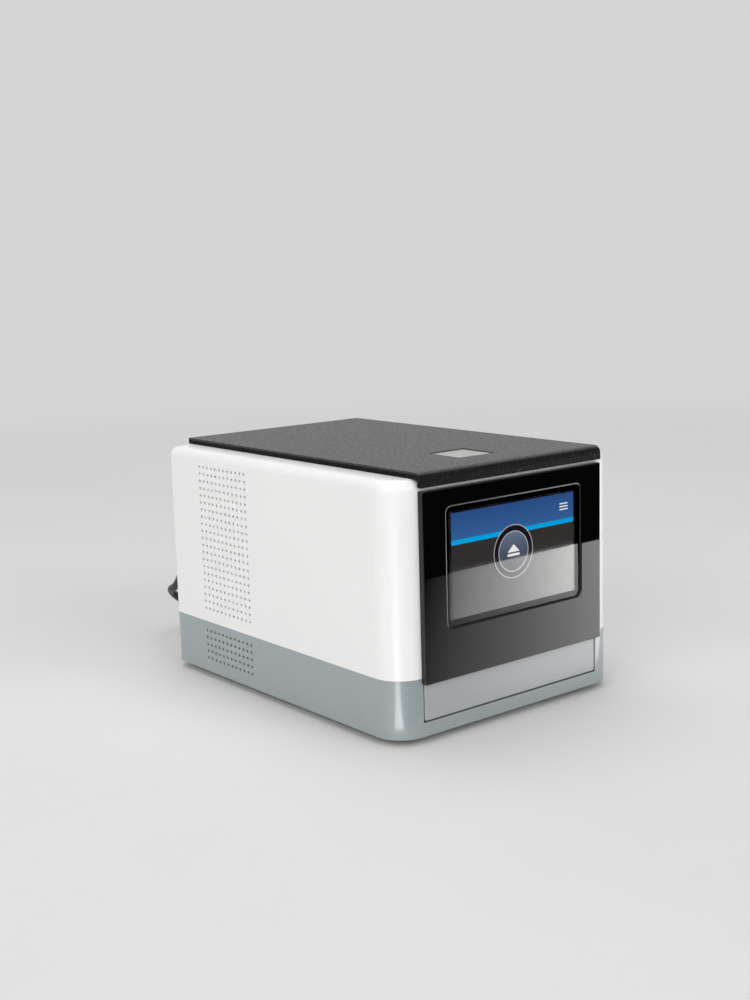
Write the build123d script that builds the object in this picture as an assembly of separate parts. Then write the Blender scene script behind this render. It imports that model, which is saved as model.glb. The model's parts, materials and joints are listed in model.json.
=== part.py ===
from build123d import *
from math import acos, cos, pi, radians, sin, tan
import os

# Bench controller for microfluidic chips: a white shell on a grey base, a black
# lid and front panel with a touch display, and a motor driven drawer that takes
# the chip holder under a press. Millimetres, +X to the right seen from the
# front, +Y to the rear, +Z up. The origin is on the bench, below the middle of
# the housing and its panel.

# Housing
width = 196.0
depth = 256.0
foot_height = 4.0
seam_height = 42.0
shell_top = 164.3
wall = 3.0
front_corner_radius = 20.0
rear_corner_radius = 8.0
top_edge_radius = 7.0
base_edge_radius = 1.5
panel_proud = 4.0
fit_gap = 0.3
running_gap = 0.05
lip_height = 3.0
lip_thickness = 1.2

# Lid
lid_side_margin = 19.5
lid_thickness = 4.2
lid_proud = 3.6
lid_skirt_drop = 4.8
lid_skirt_thickness = 3.2
lid_roll_radius = 5.0
inlay_size = 30.0
inlay_gap = 0.4
inlay_recess = 0.6
inlay_shift = -3.8
inlay_setback = 42.0
inlay_thickness = 1.0
hook_width = 8.0
hook_thickness = 1.6
hook_barb = 1.0
hook_reach = 4.8

# Front panel and display
panel_side_margin = 0.5
panel_below_seam = 3.8
panel_lid_gap = 2.0
panel_corner_radius = 1.2
panel_edge_radius = 0.8
panel_boss_radius = 3.5
panel_boss_reach = 6.0
display_side_margin = 23.3
display_top_margin = 16.0
display_height = 66.2
opening_side_margin = 4.1
opening_low_margin = 4.6
opening_high_margin = 3.9
opening_radius = 4.0
opening_lip_radius = 1.2
glass_recess = 1.5
glass_thickness = 1.1
glass_overlap = 2.6
gasket_thickness = 0.5
module_thickness = 5.5
module_border = 5.0
bracket_sheet = 1.5
board_thickness = 1.6
board_standoff = 3.0

# Side vents
base_vent_rows = 5
vent_columns = 12
vent_pitch = 5.1
vent_size = 1.9
vent_rear_margin = 44.4
vent_top_margin = 10.6
vent_seam_margin = 6.8
vent_gap_over_seam = 9.6

# Drawer and its run
drawer_side_margin = 2.0
drawer_low = 14.5
drawer_top_gap = 0.5
drawer_gap = 1.0
drawer_thickness = 5.0
tray_low = 19.0
tray_thickness = 3.0
tray_side_margin = 8.0
tray_rear_gap = 21.0
pocket_side_margin = 13.0
pocket_length = 74.0
pocket_floor = 2.0
pocket_radius = 5.0
nest_side_wall = 7.0
nest_end_wall = 6.0
nest_height = 12.0
nest_corner_radius = 3.0
finger_width = 26.0
pin_radius = 2.0
pin_height = 3.4
rail_inset = 12.0
rail_width = 9.0
rail_height = 6.5
carriage_length = 28.9
carriage_width = 20.0
carriage_gap = 2.0
rail_end_margin = 3.2
flag_x = -30.0
flag_length = 10.0

# Rack and pinion
gear_module = 0.8
pinion_teeth = 18
pressure_angle = 20.0
gear_backlash = 0.16
gear_width = 4.4
rack_height = 5.0
rack_back = 4.0
rack_side_offset = 0.2
drive_motor_radius = 11.0
drive_motor_height = 21.0
drive_shaft_radius = 2.0
motor_sheet = 1.5

# Press
inner_side_gap = 7.0
press_front_clearance = 4.8
post_margin = 8.0
post_radius = 4.0
bushing_wall = 3.0
head_low = 58.0
head_thickness = 8.0
head_length = 84.0
head_corner_radius = 6.0
bridge_drop = 64.3
bridge_thickness = 6.0
block_clearance = 1.0
block_height = 12.0
port_count = 8
port_radius = 1.6
seal_inset = 3.5
seal_thickness = 3.5
screw_radius = 4.0
step_motor_size = 42.3
step_motor_height = 34.0

# Pneumatics
valve_bar_height = 12.0
valve_bar_depth = 16.0
valve_pitch = 14.6
valve_motor_gap = 3.85
valve_width = 12.0
regulator_size = 26.0
regulator_margin = 19.0
regulator_height = 26.0
regulator_dome_radius = 9.0
regulator_dome_height = 8.0
pump_width = 28.0
pump_head_height = 34.0
pump_cap_height = 6.0
pump_tank_gap = 11.0
tank_radius = 17.0
tank_side_margin = 22.0
tank_port_radius = 3.0

# Inner frame
chassis_thickness = 2.0
deck_low = 34.0
deck_thickness = 1.5
deck_press_gap = 8.0
deck_rear_gap = 11.0
board_left_gap = 4.0
board_pump_gap = 14.0
board_rise = 8.0
supply_length = 38.0
supply_gap = 4.0
supply_height = 36.0
supply_width = 108.0
supply_side_gap = 17.0

# Rear panel and what it carries
rear_panel_inset = 9.0
rear_panel_overlap = 6.0
rear_panel_thickness = 2.0
rear_opening_low = 18.0
rear_top_margin = 14.3
inlet_share = -0.3372093
inlet_z = 62.0
inlet_recess = 15.0
inlet_flange_width = 31.0
inlet_flange_height = 50.0
inlet_flange_thickness = 2.4
inlet_body_width = 27.4
inlet_body_height = 19.8
inlet_body_depth = 20.0
inlet_wall = 1.5
switch_width = 13.0
switch_height = 19.0
switch_rise = 40.0
rocker_tilt = 9.0
socket_share = -0.127907
usb_rise = 26.0
fan_share = 0.244186
fan_lift = 16.0
fan_size = 60.0
fan_depth = 15.0
fan_hole_reach = 25.0
fan_bore_radius = 28.5
fan_hub_radius = 12.0
fan_shaft_radius = 1.5
fan_blades = 7
guard_thickness = 1.6

# Corner pillars, feet and fasteners
pillar_radius = 5.0
pillar_inset_x = 14.0
pillar_inset_front = 16.0
pillar_inset_rear = 10.8
pillar_rise = 10.0
foot_radius = 9.0
foot_inset_x = 24.0
foot_inset_y = 34.0
screw_shank_radius = 1.5
screw_head_radius = 3.0

# Mains cord
cord_radius = 3.0
relief_length = 42.0
plug_half_height = 12.5
coil_side_margin = 56.0
coil_setback = 62.0
coil_ring_radius = 36.0
coil_rings = 3
coil_layers = 2
tie_thickness = 1.0
tie_width = 12.0
tie_slack = 0.7

# Places that follow from the sizes above
half_width = width / 2
front_y = -(depth + panel_proud) / 2 + panel_proud
back_y = front_y + depth
base_bottom = foot_height
base_floor = base_bottom + wall
vent_run = shell_top - vent_top_margin - seam_height - vent_gap_over_seam
shell_vent_rows = int(vent_run / vent_pitch) + 1
lid_width = width - 2 * lid_side_margin
lid_top = shell_top + lid_thickness
panel_width = lid_width - 2 * panel_side_margin
panel_low = seam_height - panel_below_seam
panel_high = shell_top - lid_skirt_drop - panel_lid_gap
active_width = panel_width - 2 * display_side_margin
active_high = panel_high - display_top_margin
active_low = active_high - display_height
opening_width = active_width + 2 * opening_side_margin
opening_low = active_low - opening_low_margin
opening_high = active_high + opening_high_margin
opening_mid = (opening_low + opening_high) / 2
glass_front = front_y - panel_proud + glass_recess
module_front = glass_front + glass_thickness + gasket_thickness
display_back = module_front + module_thickness
board_front = display_back + bracket_sheet + board_standoff
board_back = board_front + board_thickness + 2.5
window_half_width = opening_width / 2 + glass_overlap + 1.1
window_low = opening_low - glass_overlap - 1.1
window_high = opening_high + glass_overlap + 1.1
drawer_width = panel_width - 2 * drawer_side_margin
drawer_high = panel_low - drawer_top_gap
tray_front = front_y + drawer_thickness
tray_top = tray_low + tray_thickness
tray_width = drawer_width - 2 * tray_side_margin
chassis_top = base_floor + chassis_thickness
head_width = width - 2 * (wall + inner_side_gap)
press_y = board_back + press_front_clearance + head_length / 2
post_spread_x = head_width - 2 * post_margin
post_spread_y = head_length - 2 * post_margin
bushing_radius = post_radius + bushing_wall
pocket_width = tray_width - 2 * pocket_side_margin
block_width = pocket_width - 2 * block_clearance
block_length = pocket_length - 2 * block_clearance
port_pitch = block_width / (port_count + 1)
nest_width = pocket_width + 2 * nest_side_wall
nest_length = pocket_length + 2 * nest_end_wall
bridge_low = shell_top - bridge_drop
bridge_top = bridge_low + bridge_thickness
valve_row_y = press_y + step_motor_size / 2 + valve_motor_gap + valve_bar_depth / 2
rear_face = back_y - wall
panel_back = rear_face - rear_panel_thickness
supply_front = panel_back - supply_gap - supply_length
deck_width = head_width
deck_top = deck_low + deck_thickness
deck_y0 = press_y + head_length / 2 + deck_press_gap
deck_y1 = supply_front - deck_rear_gap
deck_length = deck_y1 - deck_y0
tank_x = deck_width / 2 - tank_side_margin
pump_x = tank_x - tank_radius - pump_tank_gap - pump_width / 2
board_x0 = -deck_width / 2 + board_left_gap
board_x1 = pump_x - pump_width / 2 - board_pump_gap
board_width = board_x1 - board_x0
tray_rear = supply_front - tray_rear_gap
tray_travel = tray_rear - tray_front - 2 * carriage_length - carriage_gap - rail_end_margin
rail_spacing = tray_width - 2 * rail_inset
rack_low = tray_top
rack_pitch_line = tray_width / 2 + rack_side_offset
tooth_pitch = pi * gear_module
flank_slope = tan(radians(pressure_angle))
pinion_radius = gear_module * pinion_teeth / 2
pinion_x = rack_pitch_line + pinion_radius
bracket_low = rack_low + rack_height + 0.5
motor_low = bracket_low + motor_sheet
rear_panel_width = width - 2 * (wall + rear_panel_inset)
rear_opening_width = rear_panel_width - 2 * rear_panel_overlap
rear_opening_high = shell_top - rear_top_margin
rear_panel_high = rear_opening_high + rear_panel_overlap
inlet_x = inlet_share * rear_panel_width
switch_z = inlet_z + switch_rise
rocker_pivot_y = rear_face - 3.0
socket_x = socket_share * rear_panel_width
network_z = inlet_z
usb_z = network_z + usb_rise
fan_x = fan_share * rear_panel_width
fan_z = (rear_opening_low + rear_opening_high) / 2 + fan_lift
relief_end = rear_face + relief_length
coil_x = half_width - coil_side_margin
coil_y = back_y + coil_setback
coil_inner = coil_ring_radius - coil_rings * cord_radius
coil_outer = coil_ring_radius + coil_rings * cord_radius
coil_low = tie_thickness
coil_high = coil_low + coil_layers * 2 * cord_radius


def block(x0, x1, y0, y1, z0, z1):
    """A box between two opposite corners."""
    middle = Pos((x0 + x1) / 2, (y0 + y1) / 2, (z0 + z1) / 2)
    return middle * Box(x1 - x0, y1 - y0, z1 - z0)


def post(x, y, z0, z1, radius):
    """A round bar along Z."""
    return Pos(x, y, (z0 + z1) / 2) * Cylinder(radius, z1 - z0)


def bar_y(x, z, y0, y1, radius):
    """A round bar along Y."""
    return Pos(x, (y0 + y1) / 2, z) * Rot(90, 0, 0) * Cylinder(radius, y1 - y0)


def bar_x(y, z, x0, x1, radius):
    """A round bar along X."""
    return Pos((x0 + x1) / 2, y, z) * Rot(0, 90, 0) * Cylinder(radius, x1 - x0)


def frame_prism(outer_w, inner_w, low, high, inner_low, inner_high, y0, y1):
    """A rectangular frame in the XZ plane, from y0 to y1."""
    outer = block(-outer_w / 2, outer_w / 2, y0, y1, low, high)
    inner = block(-inner_w / 2, inner_w / 2, y0 - 1, y1 + 1, inner_low, inner_high)
    return outer - inner


def rounded_face_y(x_mid, w, low, high, radius, y0, y1):
    """A plate facing Y with rounded corners, from y0 back to y1."""
    outline = RectangleRounded(w, high - low, radius)
    placed = Plane((x_mid, y1, (low + high) / 2), x_dir=(1, 0, 0), z_dir=(0, -1, 0))
    return extrude(placed * outline, y1 - y0)


def mirrored_xy(x, y_low, y_high):
    """The four places of a pattern that is symmetric about X."""
    return [(side * x, y) for side in (-1, 1) for y in (y_low, y_high)]


def group(solids):
    """Separate pieces of one kind, kept as separate solids."""
    return Compound(children=[s for piece in solids for s in piece.solids()])


def vertical_edges(shape):
    """Edges that run along Z."""
    return shape.edges().filter_by(Axis.Z)


# Housing

def housing_outline(inset):
    """Plan of the housing: wide front corners and tight rear ones."""
    half = half_width - inset
    y0 = front_y + inset
    y1 = back_y - inset
    outline = Pos(0, (y0 + y1) / 2) * Rectangle(2 * half, y1 - y0)
    outline = fillet(outline.vertices().group_by(Axis.Y)[0], front_corner_radius - inset)
    return fillet(outline.vertices().group_by(Axis.Y)[-1], rear_corner_radius - inset)


def housing_block(inset, low, high):
    """The housing's plan raised from low to high."""
    return extrude(Pos(0, 0, low) * housing_outline(inset), high - low)


def vent_cutters(top_row, rows):
    """Pins that pierce the left wall in a square pattern."""
    cutters = []
    for row in range(rows):
        for column in range(vent_columns):
            y = back_y - vent_rear_margin - column * vent_pitch
            z = top_row - row * vent_pitch
            pin = Pos(-half_width + wall / 2, y, z) * Rot(45, 0, 0) * Box(2 * wall, vent_size, vent_size)
            cutters.append(pin)
    return cutters


pillar_places = [
    (side * (half_width - pillar_inset_x), y)
    for side in (-1, 1)
    for y in (front_y + pillar_inset_front, back_y - pillar_inset_rear)
]
foot_places = mirrored_xy(half_width - foot_inset_x, front_y + foot_inset_y, back_y - foot_inset_y)


def pillar_with_rib(x, y, low, high, bore_radius):
    """A screw pillar tied to the side wall by a rib."""
    side = 1 if x > 0 else -1
    reach = half_width - wall / 2
    rib = block(min(x, side * reach), max(x, side * reach), y - 1, y + 1, low, high)
    return post(x, y, low, high, pillar_radius) + rib


def make_lower_housing():
    """Grey tub with the drawer's mouth, rear opening and screw pillars."""
    outer = housing_block(0, base_bottom, seam_height)
    outer = fillet(outer.faces().sort_by(Axis.Z)[0].edges(), base_edge_radius)
    tub = outer - housing_block(wall, base_floor, seam_height + 1)
    lip_outer = housing_block(wall + fit_gap, seam_height - 6, seam_height + lip_height)
    lip_inner = housing_block(wall + fit_gap + lip_thickness, seam_height - 7, seam_height + lip_height + 1)
    lip_foot = housing_block(wall - 1, seam_height - 6, seam_height - 4) - lip_inner
    tub += (lip_outer - lip_inner) + lip_foot
    for x, y in pillar_places:
        tub += pillar_with_rib(x, y, base_bottom + wall / 2, seam_height, 0)
    mouth_half = drawer_width / 2 + drawer_gap
    tub -= block(-mouth_half, mouth_half, front_y - 1, front_y + wall + 3,
                 drawer_low - drawer_gap, seam_height + 4)
    rear_half = rear_opening_width / 2
    tub -= block(-rear_half, rear_half, rear_face - 3, back_y + 1, rear_opening_low, seam_height + 4)
    panel_half = rear_panel_width / 2 + fit_gap
    tub -= block(-panel_half, panel_half, panel_back - fit_gap, rear_face, base_floor + 1, seam_height + 4)
    for x, y in pillar_places:
        side = 1 if x > 0 else -1
        tub -= block(min(x, side * half_width), max(x, side * half_width), y - 1 - fit_gap,
                     y + 1 + fit_gap, seam_height, seam_height + 4)
    for x, y in pillar_places:
        tub -= post(x, y, base_bottom - 1, seam_height + 4, screw_shank_radius + 0.3)
        tub -= post(x, y, base_bottom - 1, base_bottom + 5, screw_head_radius + fit_gap)
    return tub - vent_cutters(seam_height - vent_seam_margin, base_vent_rows)


def make_upper_shell():
    """White shell: rounded top edge, display window, open rear and bottom."""
    outer = housing_block(0, seam_height, shell_top)
    outer = fillet(outer.faces().sort_by(Axis.Z)[-1].edges(), top_edge_radius)
    inner = housing_block(wall, seam_height - 1, shell_top - wall)
    inner = chamfer(inner.faces().sort_by(Axis.Z)[-1].edges(), top_edge_radius - wall)
    shell = outer - inner
    for x, y in pillar_places:
        shell += pillar_with_rib(x, y, seam_height, seam_height + pillar_rise, 0)
    for x, y in pillar_places:
        shell -= post(x, y, seam_height - 1, seam_height + pillar_rise - 2, screw_shank_radius)
    shell -= block(-window_half_width, window_half_width, front_y - 1, front_y + wall + 1,
                   window_low, window_high)
    for x, z in panel_boss_places():
        shell -= bar_y(x, z, front_y - 1, front_y + wall + 1, panel_boss_radius + fit_gap)
    rear_half = rear_opening_width / 2
    shell -= block(-rear_half, rear_half, rear_face - 1, back_y + 1, seam_height - 1,
                   rear_opening_high)
    for x, z in rear_screw_places():
        shell -= bar_y(x, z, rear_face - 1, back_y + 1, screw_shank_radius + 0.3)
        shell -= bar_y(x, z, back_y - 1.8, back_y + 1, screw_head_radius + fit_gap)
    for x, y in lid_hook_places():
        slot = block(x - hook_width / 2 - fit_gap, x + hook_width / 2 + fit_gap,
                     y - hook_thickness / 2 - fit_gap, y + hook_thickness / 2 + fit_gap,
                     shell_top - wall - 1, shell_top + 1)
        shell -= slot
    return shell - vent_cutters(shell_top - vent_top_margin, shell_vent_rows)


# Lid

def lid_hook_places():
    """Snap hooks under the lid, near its corners and its middle."""
    reach_x = lid_width / 2 - 12
    return [(x, y) for x in (-reach_x, reach_x) for y in (front_y + 26, (front_y + back_y) / 2, back_y - 26)]


def make_lid_hook(x, y):
    """One snap hook: a tongue with a barb at its end."""
    low = shell_top - hook_reach
    tongue = block(x - hook_width / 2, x + hook_width / 2, y - hook_thickness / 2,
                   y + hook_thickness / 2, low, shell_top + 0.5)
    start = y + hook_thickness / 2
    barb_line = Polyline((start, low), (start + hook_barb, low + 1), (start, low + 1.6), close=True)
    barb_plane = Plane((x - hook_width / 2, 0, 0), x_dir=(0, 1, 0), z_dir=(1, 0, 0))
    return tongue + extrude(barb_plane * make_face(barb_line), hook_width)


def make_top_lid():
    """Black lid that rolls over the front edge and ends in a short skirt."""
    nose = front_y - lid_proud
    skirt_low = lid_top - lid_thickness - lid_skirt_drop
    inner = nose + lid_skirt_thickness
    line = Polyline((nose, skirt_low), (nose, lid_top), (back_y, lid_top), (back_y, shell_top),
                    (inner, shell_top), (inner, skirt_low), close=True)
    side = Plane((-lid_width / 2, 0, 0), x_dir=(0, 1, 0), z_dir=(1, 0, 0))
    lid = extrude(side * make_face(line), lid_width)
    along_x = lid.edges().filter_by(Axis.X)
    front_top = along_x.group_by(Axis.Z)[-1].sort_by(Axis.Y)[0]
    lid = fillet(front_top, lid_roll_radius)
    inner_corner = [e for e in lid.edges().filter_by(Axis.X)
                    if abs(e.center().Y - inner) < 0.01 and abs(e.center().Z - shell_top) < 0.01]
    lid = fillet(inner_corner, lid_roll_radius - lid_skirt_thickness)
    for x, y in lid_hook_places():
        lid += make_lid_hook(x, y)
    return lid - inlay_block(inlay_size + 2 * inlay_gap, lid_top + 1)


def inlay_block(size, top):
    """Square block on the floor of the inlay's recess."""
    inlay_y = front_y + inlay_setback
    floor_z = lid_top - inlay_recess - inlay_thickness
    return block(inlay_shift - size / 2, inlay_shift + size / 2, inlay_y - size / 2, inlay_y + size / 2, floor_z, top)


def make_lid_inlay():
    """Plain square plate let into the lid, a little below its face."""
    return inlay_block(inlay_size, lid_top - inlay_recess)


# Front panel and display

def panel_boss_places():
    """Bosses on the back of the front panel."""
    reach = panel_width / 2 - 8
    return [(x, z) for x in (-reach, reach) for z in (panel_low + 20, panel_high - 8)]


def make_front_panel():
    """Gloss black panel with a rounded opening and a rebate for the glass."""
    panel = rounded_face_y(0, panel_width, panel_low, panel_high, panel_corner_radius,
                           front_y - panel_proud, front_y)
    front_edges = panel.faces().sort_by(Axis.Y)[0].edges()
    panel = fillet(front_edges, panel_edge_radius)
    opening = rounded_face_y(0, opening_width, opening_low, opening_high, opening_radius,
                             front_y - panel_proud - 1, front_y + 1)
    panel -= opening
    lip = panel.faces().sort_by(Axis.Y)[0].inner_wires()[0].edges()
    panel = fillet(lip, opening_lip_radius)
    panel -= rounded_face_y(0, opening_width + 2 * (glass_overlap + fit_gap),
                            opening_low - glass_overlap - fit_gap, opening_high + glass_overlap + fit_gap,
                            opening_radius, glass_front, front_y + 1)
    for x, z in panel_boss_places():
        panel += bar_y(x, z, front_y - 1, front_y + panel_boss_reach, panel_boss_radius)
        panel -= bar_y(x, z, front_y + 0.5, front_y + panel_boss_reach + 1, screw_shank_radius)
    return panel


def make_touch_glass():
    """Cover glass set back in the panel."""
    return rounded_face_y(0, opening_width + 2 * glass_overlap, opening_low - glass_overlap,
                          opening_high + glass_overlap, opening_radius, glass_front, glass_front + glass_thickness)


def make_display_gasket():
    """Foam frame between glass and display."""
    return frame_prism(active_width + 2 * module_border, active_width + 1.6, active_low - module_border - 1,
                       active_high + module_border, active_low - 0.8, active_high + 0.8,
                       module_front - gasket_thickness, module_front)


def make_display_module():
    """Liquid crystal panel in a stepped metal bezel."""
    half = active_width / 2 + module_border
    low = active_low - module_border - 1
    high = active_high + module_border
    body = block(-half, half, module_front, display_back, low, high)
    step = frame_prism(2 * half + 2, 2 * half - 2, low - 1, high + 1, low + 1, high - 1,
                       display_back - 1.5, display_back + 0.01)
    return body - step


def make_display_bracket():
    """Sheet frame that clamps the display module to the shell's front wall."""
    half = window_half_width + 10
    plate = block(-half, half, display_back, display_back + bracket_sheet, active_low - 8, active_high + 1.5)
    plate -= block(-active_width / 2 + 8, active_width / 2 - 8, display_back - 1, board_front,
                   active_low + 6, active_high - 6)
    for x, z in bracket_leg_places():
        plate += bar_y(x, z, front_y + wall, display_back + 0.5, 3)
    return plate


def bracket_leg_places():
    """Legs that stand the display bracket off the front wall."""
    reach = window_half_width + 5.5
    return [(x, z) for x in (-reach, reach) for z in (active_low - 4, active_high - 3)]


def standoff_places():
    """Standoffs between the display bracket and its board."""
    reach = active_width / 2 - 4
    return [(x, z) for x in (-reach, reach) for z in (active_low + 2, active_high - 2)]


def make_display_board():
    """Driver board with its connector and processor."""
    half = active_width / 2
    board = block(-half, half, board_front, board_front + board_thickness, active_low - 2, active_high + 2)
    board += block(-10, 10, board_front + 1, board_back - 1.3, opening_mid - 8, opening_mid + 8)
    return board + block(-half + 14, -half + 32, board_front + 1, board_back, active_low + 2, active_low + 7)


def make_panel_screws():
    """Washer head screws that hold the front panel from inside the shell."""
    screws = []
    for x, z in panel_boss_places():
        seat = front_y + panel_boss_reach
        shank = bar_y(x, z, seat - 4, seat + 0.5, screw_shank_radius - 0.05)
        screws.append(shank + bar_y(x, z, seat, seat + 2, screw_head_radius + 1.5))
    return group(screws)


# Drawer

def make_drawer_front():
    """Grey drawer front, flush with the base, with gussets that stand on the tray plate."""
    half = drawer_width / 2
    front = block(-half, half, front_y, tray_front, drawer_low, drawer_high)
    lower = front.edges().filter_by(Axis.Y).group_by(Axis.Z)[0]
    front = fillet(lower, 1.5)
    front = fillet(front.faces().sort_by(Axis.Y)[0].edges(), 0.4)
    pull = block(-half + 12, half - 12, front_y + 2.5, tray_front + 1, drawer_high - 6, drawer_high - 2)
    front -= pull
    for x in (-tray_width / 2 + 20, tray_width / 2 - 20):
        rise = Polyline((tray_front - 0.5, tray_top), (tray_front + 9, tray_top),
                        (tray_front, tray_top + 8), (tray_front - 0.5, tray_top + 8), close=True)
        side = Plane((x - 1.5, 0, 0), x_dir=(0, 1, 0), z_dir=(1, 0, 0))
        front += extrude(side * make_face(rise), 3)
    return front


def make_tray_plate():
    """Drawer floor plate with lightening windows and a tongue for the home sensor."""
    half = tray_width / 2
    plate = block(-half, half, tray_front, tray_rear, tray_low, tray_top)
    plate = fillet(vertical_edges(plate).group_by(Axis.Y)[-1], 4)
    window_y0 = press_y + nest_length / 2 + 8
    window_y1 = tray_rear - 10
    for side in (-1, 1):
        plate -= block(min(side * 8, side * 32), max(side * 8, side * 32), window_y0, window_y1,
                       tray_low - 1, tray_top + 1)
    return plate + block(flag_x - 0.6, flag_x + 0.6, tray_rear - 1, tray_rear + flag_length,
                         tray_low - 3, tray_top)


def make_chip_nest():
    """Machined nest whose pocket takes the chip holder."""
    nest_low = tray_top
    nest = block(-nest_width / 2, nest_width / 2, press_y - nest_length / 2, press_y + nest_length / 2,
                 nest_low, nest_low + nest_height)
    nest = fillet(vertical_edges(nest), nest_corner_radius)
    pocket = block(-pocket_width / 2, pocket_width / 2, press_y - pocket_length / 2,
                   press_y + pocket_length / 2, nest_low + pocket_floor, nest_low + nest_height + 1)
    nest -= fillet(vertical_edges(pocket), pocket_radius)
    finger = block(-nest_width / 2 - 1, nest_width / 2 + 1, press_y - finger_width / 2, press_y + finger_width / 2,
                   nest_low + pocket_floor + 3, nest_low + nest_height + 1)
    return nest - finger


def nest_pin_places():
    """Locating pins on the nest's front and rear walls."""
    offset = (nest_length + pocket_length) / 4
    reach = pocket_width / 2 - 7
    return [(-reach, press_y - offset), (reach, press_y + offset)]


def make_nest_pins():
    """Two round locating pins with chamfered ends."""
    low = tray_top + nest_height
    pins = []
    for x, y in nest_pin_places():
        pin = post(x, y, low, low + pin_height, pin_radius)
        pins.append(chamfer(pin.faces().sort_by(Axis.Z)[-1].edges(), 0.8))
    return group(pins)


def make_home_sensor():
    """Slotted light barrier for the closed drawer."""
    y0 = tray_rear + 3
    body = block(flag_x - 6, flag_x + 6, y0, y0 + 12, chassis_top, tray_top + 2)
    return body - block(flag_x - 1.8, flag_x + 1.8, y0 - 1, y0 + 13, tray_low - 5, tray_top + 3)


def rail_ends():
    """Front and rear end of the drawer rails."""
    return front_y + 7, tray_rear + 4


def make_guide_rails():
    """Two profiled rails with a ball groove along each side."""
    y0, y1 = rail_ends()
    rails = []
    for side in (-1, 1):
        x = side * rail_spacing / 2
        rail = block(x - rail_width / 2, x + rail_width / 2, y0, y1, chassis_top, chassis_top + rail_height)
        for groove_x in (x - rail_width / 2, x + rail_width / 2):
            groove_z = chassis_top + rail_height * 0.62
            rail -= Pos(groove_x, (y0 + y1) / 2, groove_z) * Rot(0, 45, 0) * Box(1.3, y1 - y0 + 1, 1.3)
        rails.append(rail)
    return group(rails)


def carriage_places():
    """Middle of each of the four carriages under the tray."""
    rear = tray_rear - carriage_length / 2
    places = []
    for side in (-1, 1):
        for y in (rear - carriage_length - carriage_gap, rear):
            places.append((side * rail_spacing / 2, y))
    return places


def make_guide_carriages():
    """Four carriages that straddle the rails."""
    carriages = []
    rail_top = chassis_top + rail_height
    for x, y in carriage_places():
        y0 = y - carriage_length / 2
        y1 = y + carriage_length / 2
        body = block(x - carriage_width / 2, x + carriage_width / 2, y0, y1, chassis_top + 2.2, tray_low)
        slot_half = rail_width / 2 + fit_gap
        body -= block(x - slot_half, x + slot_half, y0 - 1, y1 + 1, chassis_top, rail_top + fit_gap)
        carriages.append(body)
    return group(carriages)


# Rack and pinion

def make_drive_rack():
    """Straight rack on the tray's right edge, teeth facing out."""
    x_root = rack_pitch_line - 1.25 * gear_module
    x_back = x_root - rack_back
    x_tip = rack_pitch_line + gear_module
    half_pitch = tooth_pitch / 4 - gear_backlash / 4
    half_root = half_pitch + 1.25 * gear_module * flank_slope
    half_tip = half_pitch - gear_module * flank_slope
    y_first = press_y - 10
    y_last = press_y + tray_travel + 6
    points = [(x_back, y_first), (x_root, y_first)]
    count = int((y_last - y_first) / tooth_pitch) - 1
    for k in range(count):
        y = press_y + (k - 3.5) * tooth_pitch
        points += [(x_root, y - half_root), (x_tip, y - half_tip), (x_tip, y + half_tip), (x_root, y + half_root)]
    points += [(x_root, y_last), (x_back, y_last)]
    outline = make_face(Polyline(*points, close=True))
    return extrude(Pos(0, 0, rack_low) * outline, rack_height)


def involute(angle):
    """Involute function of a pressure angle in radians."""
    return tan(angle) - angle


def pinion_outline():
    """Spur gear outline with involute flanks, one tooth towards -X."""
    base = pinion_radius * cos(radians(pressure_angle))
    tip = pinion_radius + gear_module
    root = pinion_radius - 1.25 * gear_module
    at_pitch = pi / (2 * pinion_teeth) - gear_backlash / (4 * pinion_radius)

    def half_angle(radius):
        angle = acos(min(1, base / radius))
        return at_pitch + involute(radians(pressure_angle)) - involute(angle)

    flank = [(root, half_angle(base)), (base, half_angle(base))]
    flank += [(r, half_angle(r)) for r in (pinion_radius, (pinion_radius + tip) / 2, tip)]
    points = []
    for k in range(pinion_teeth):
        centre = pi + 2 * pi * k / pinion_teeth
        for radius, half in flank:
            points.append((radius * cos(centre - half), radius * sin(centre - half)))
        for radius, half in reversed(flank):
            points.append((radius * cos(centre + half), radius * sin(centre + half)))
    return make_face(Polyline(*points, close=True))


def make_drive_pinion():
    """Pinion in one piece with its hub and shaft."""
    low = rack_low + 0.3
    gear = extrude(Pos(pinion_x, press_y, low) * pinion_outline(), gear_width)
    gear += post(pinion_x, press_y, low, motor_low + 6, drive_shaft_radius)
    return gear


def make_drive_motor():
    """Small gear motor that stands on its bracket over the pinion."""
    can = post(pinion_x, press_y, motor_low, motor_low + drive_motor_height, drive_motor_radius)
    can = chamfer(can.faces().sort_by(Axis.Z)[-1].edges(), 1.2)
    return can - post(pinion_x, press_y, motor_low - 1, motor_low + 8, drive_shaft_radius + running_gap)


def make_motor_bracket():
    """Bent bracket that carries the drawer motor above the rack."""
    x0 = pinion_x - drive_motor_radius
    x1 = half_width - 6
    y0 = press_y - 14
    y1 = press_y + 14
    plate = block(x0, x1, y0, y1, bracket_low, motor_low)
    leg = block(x1 - motor_sheet, x1, y0, y1, chassis_top, motor_low)
    foot = block(x1 - 7, x1, y0, y1, chassis_top, chassis_top + motor_sheet)
    bracket = plate + leg + foot
    return bracket - post(pinion_x, press_y, bracket_low - 1, motor_low + 1, drive_shaft_radius + 1)


# Press

def post_places():
    """The press's four guide posts."""
    return mirrored_xy(post_spread_x / 2, press_y - post_spread_y / 2, press_y + post_spread_y / 2)


def make_guide_posts():
    """Four ground posts from chassis to bridge."""
    return group([post(x, y, chassis_top, bridge_low, post_radius) for x, y in post_places()])


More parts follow.
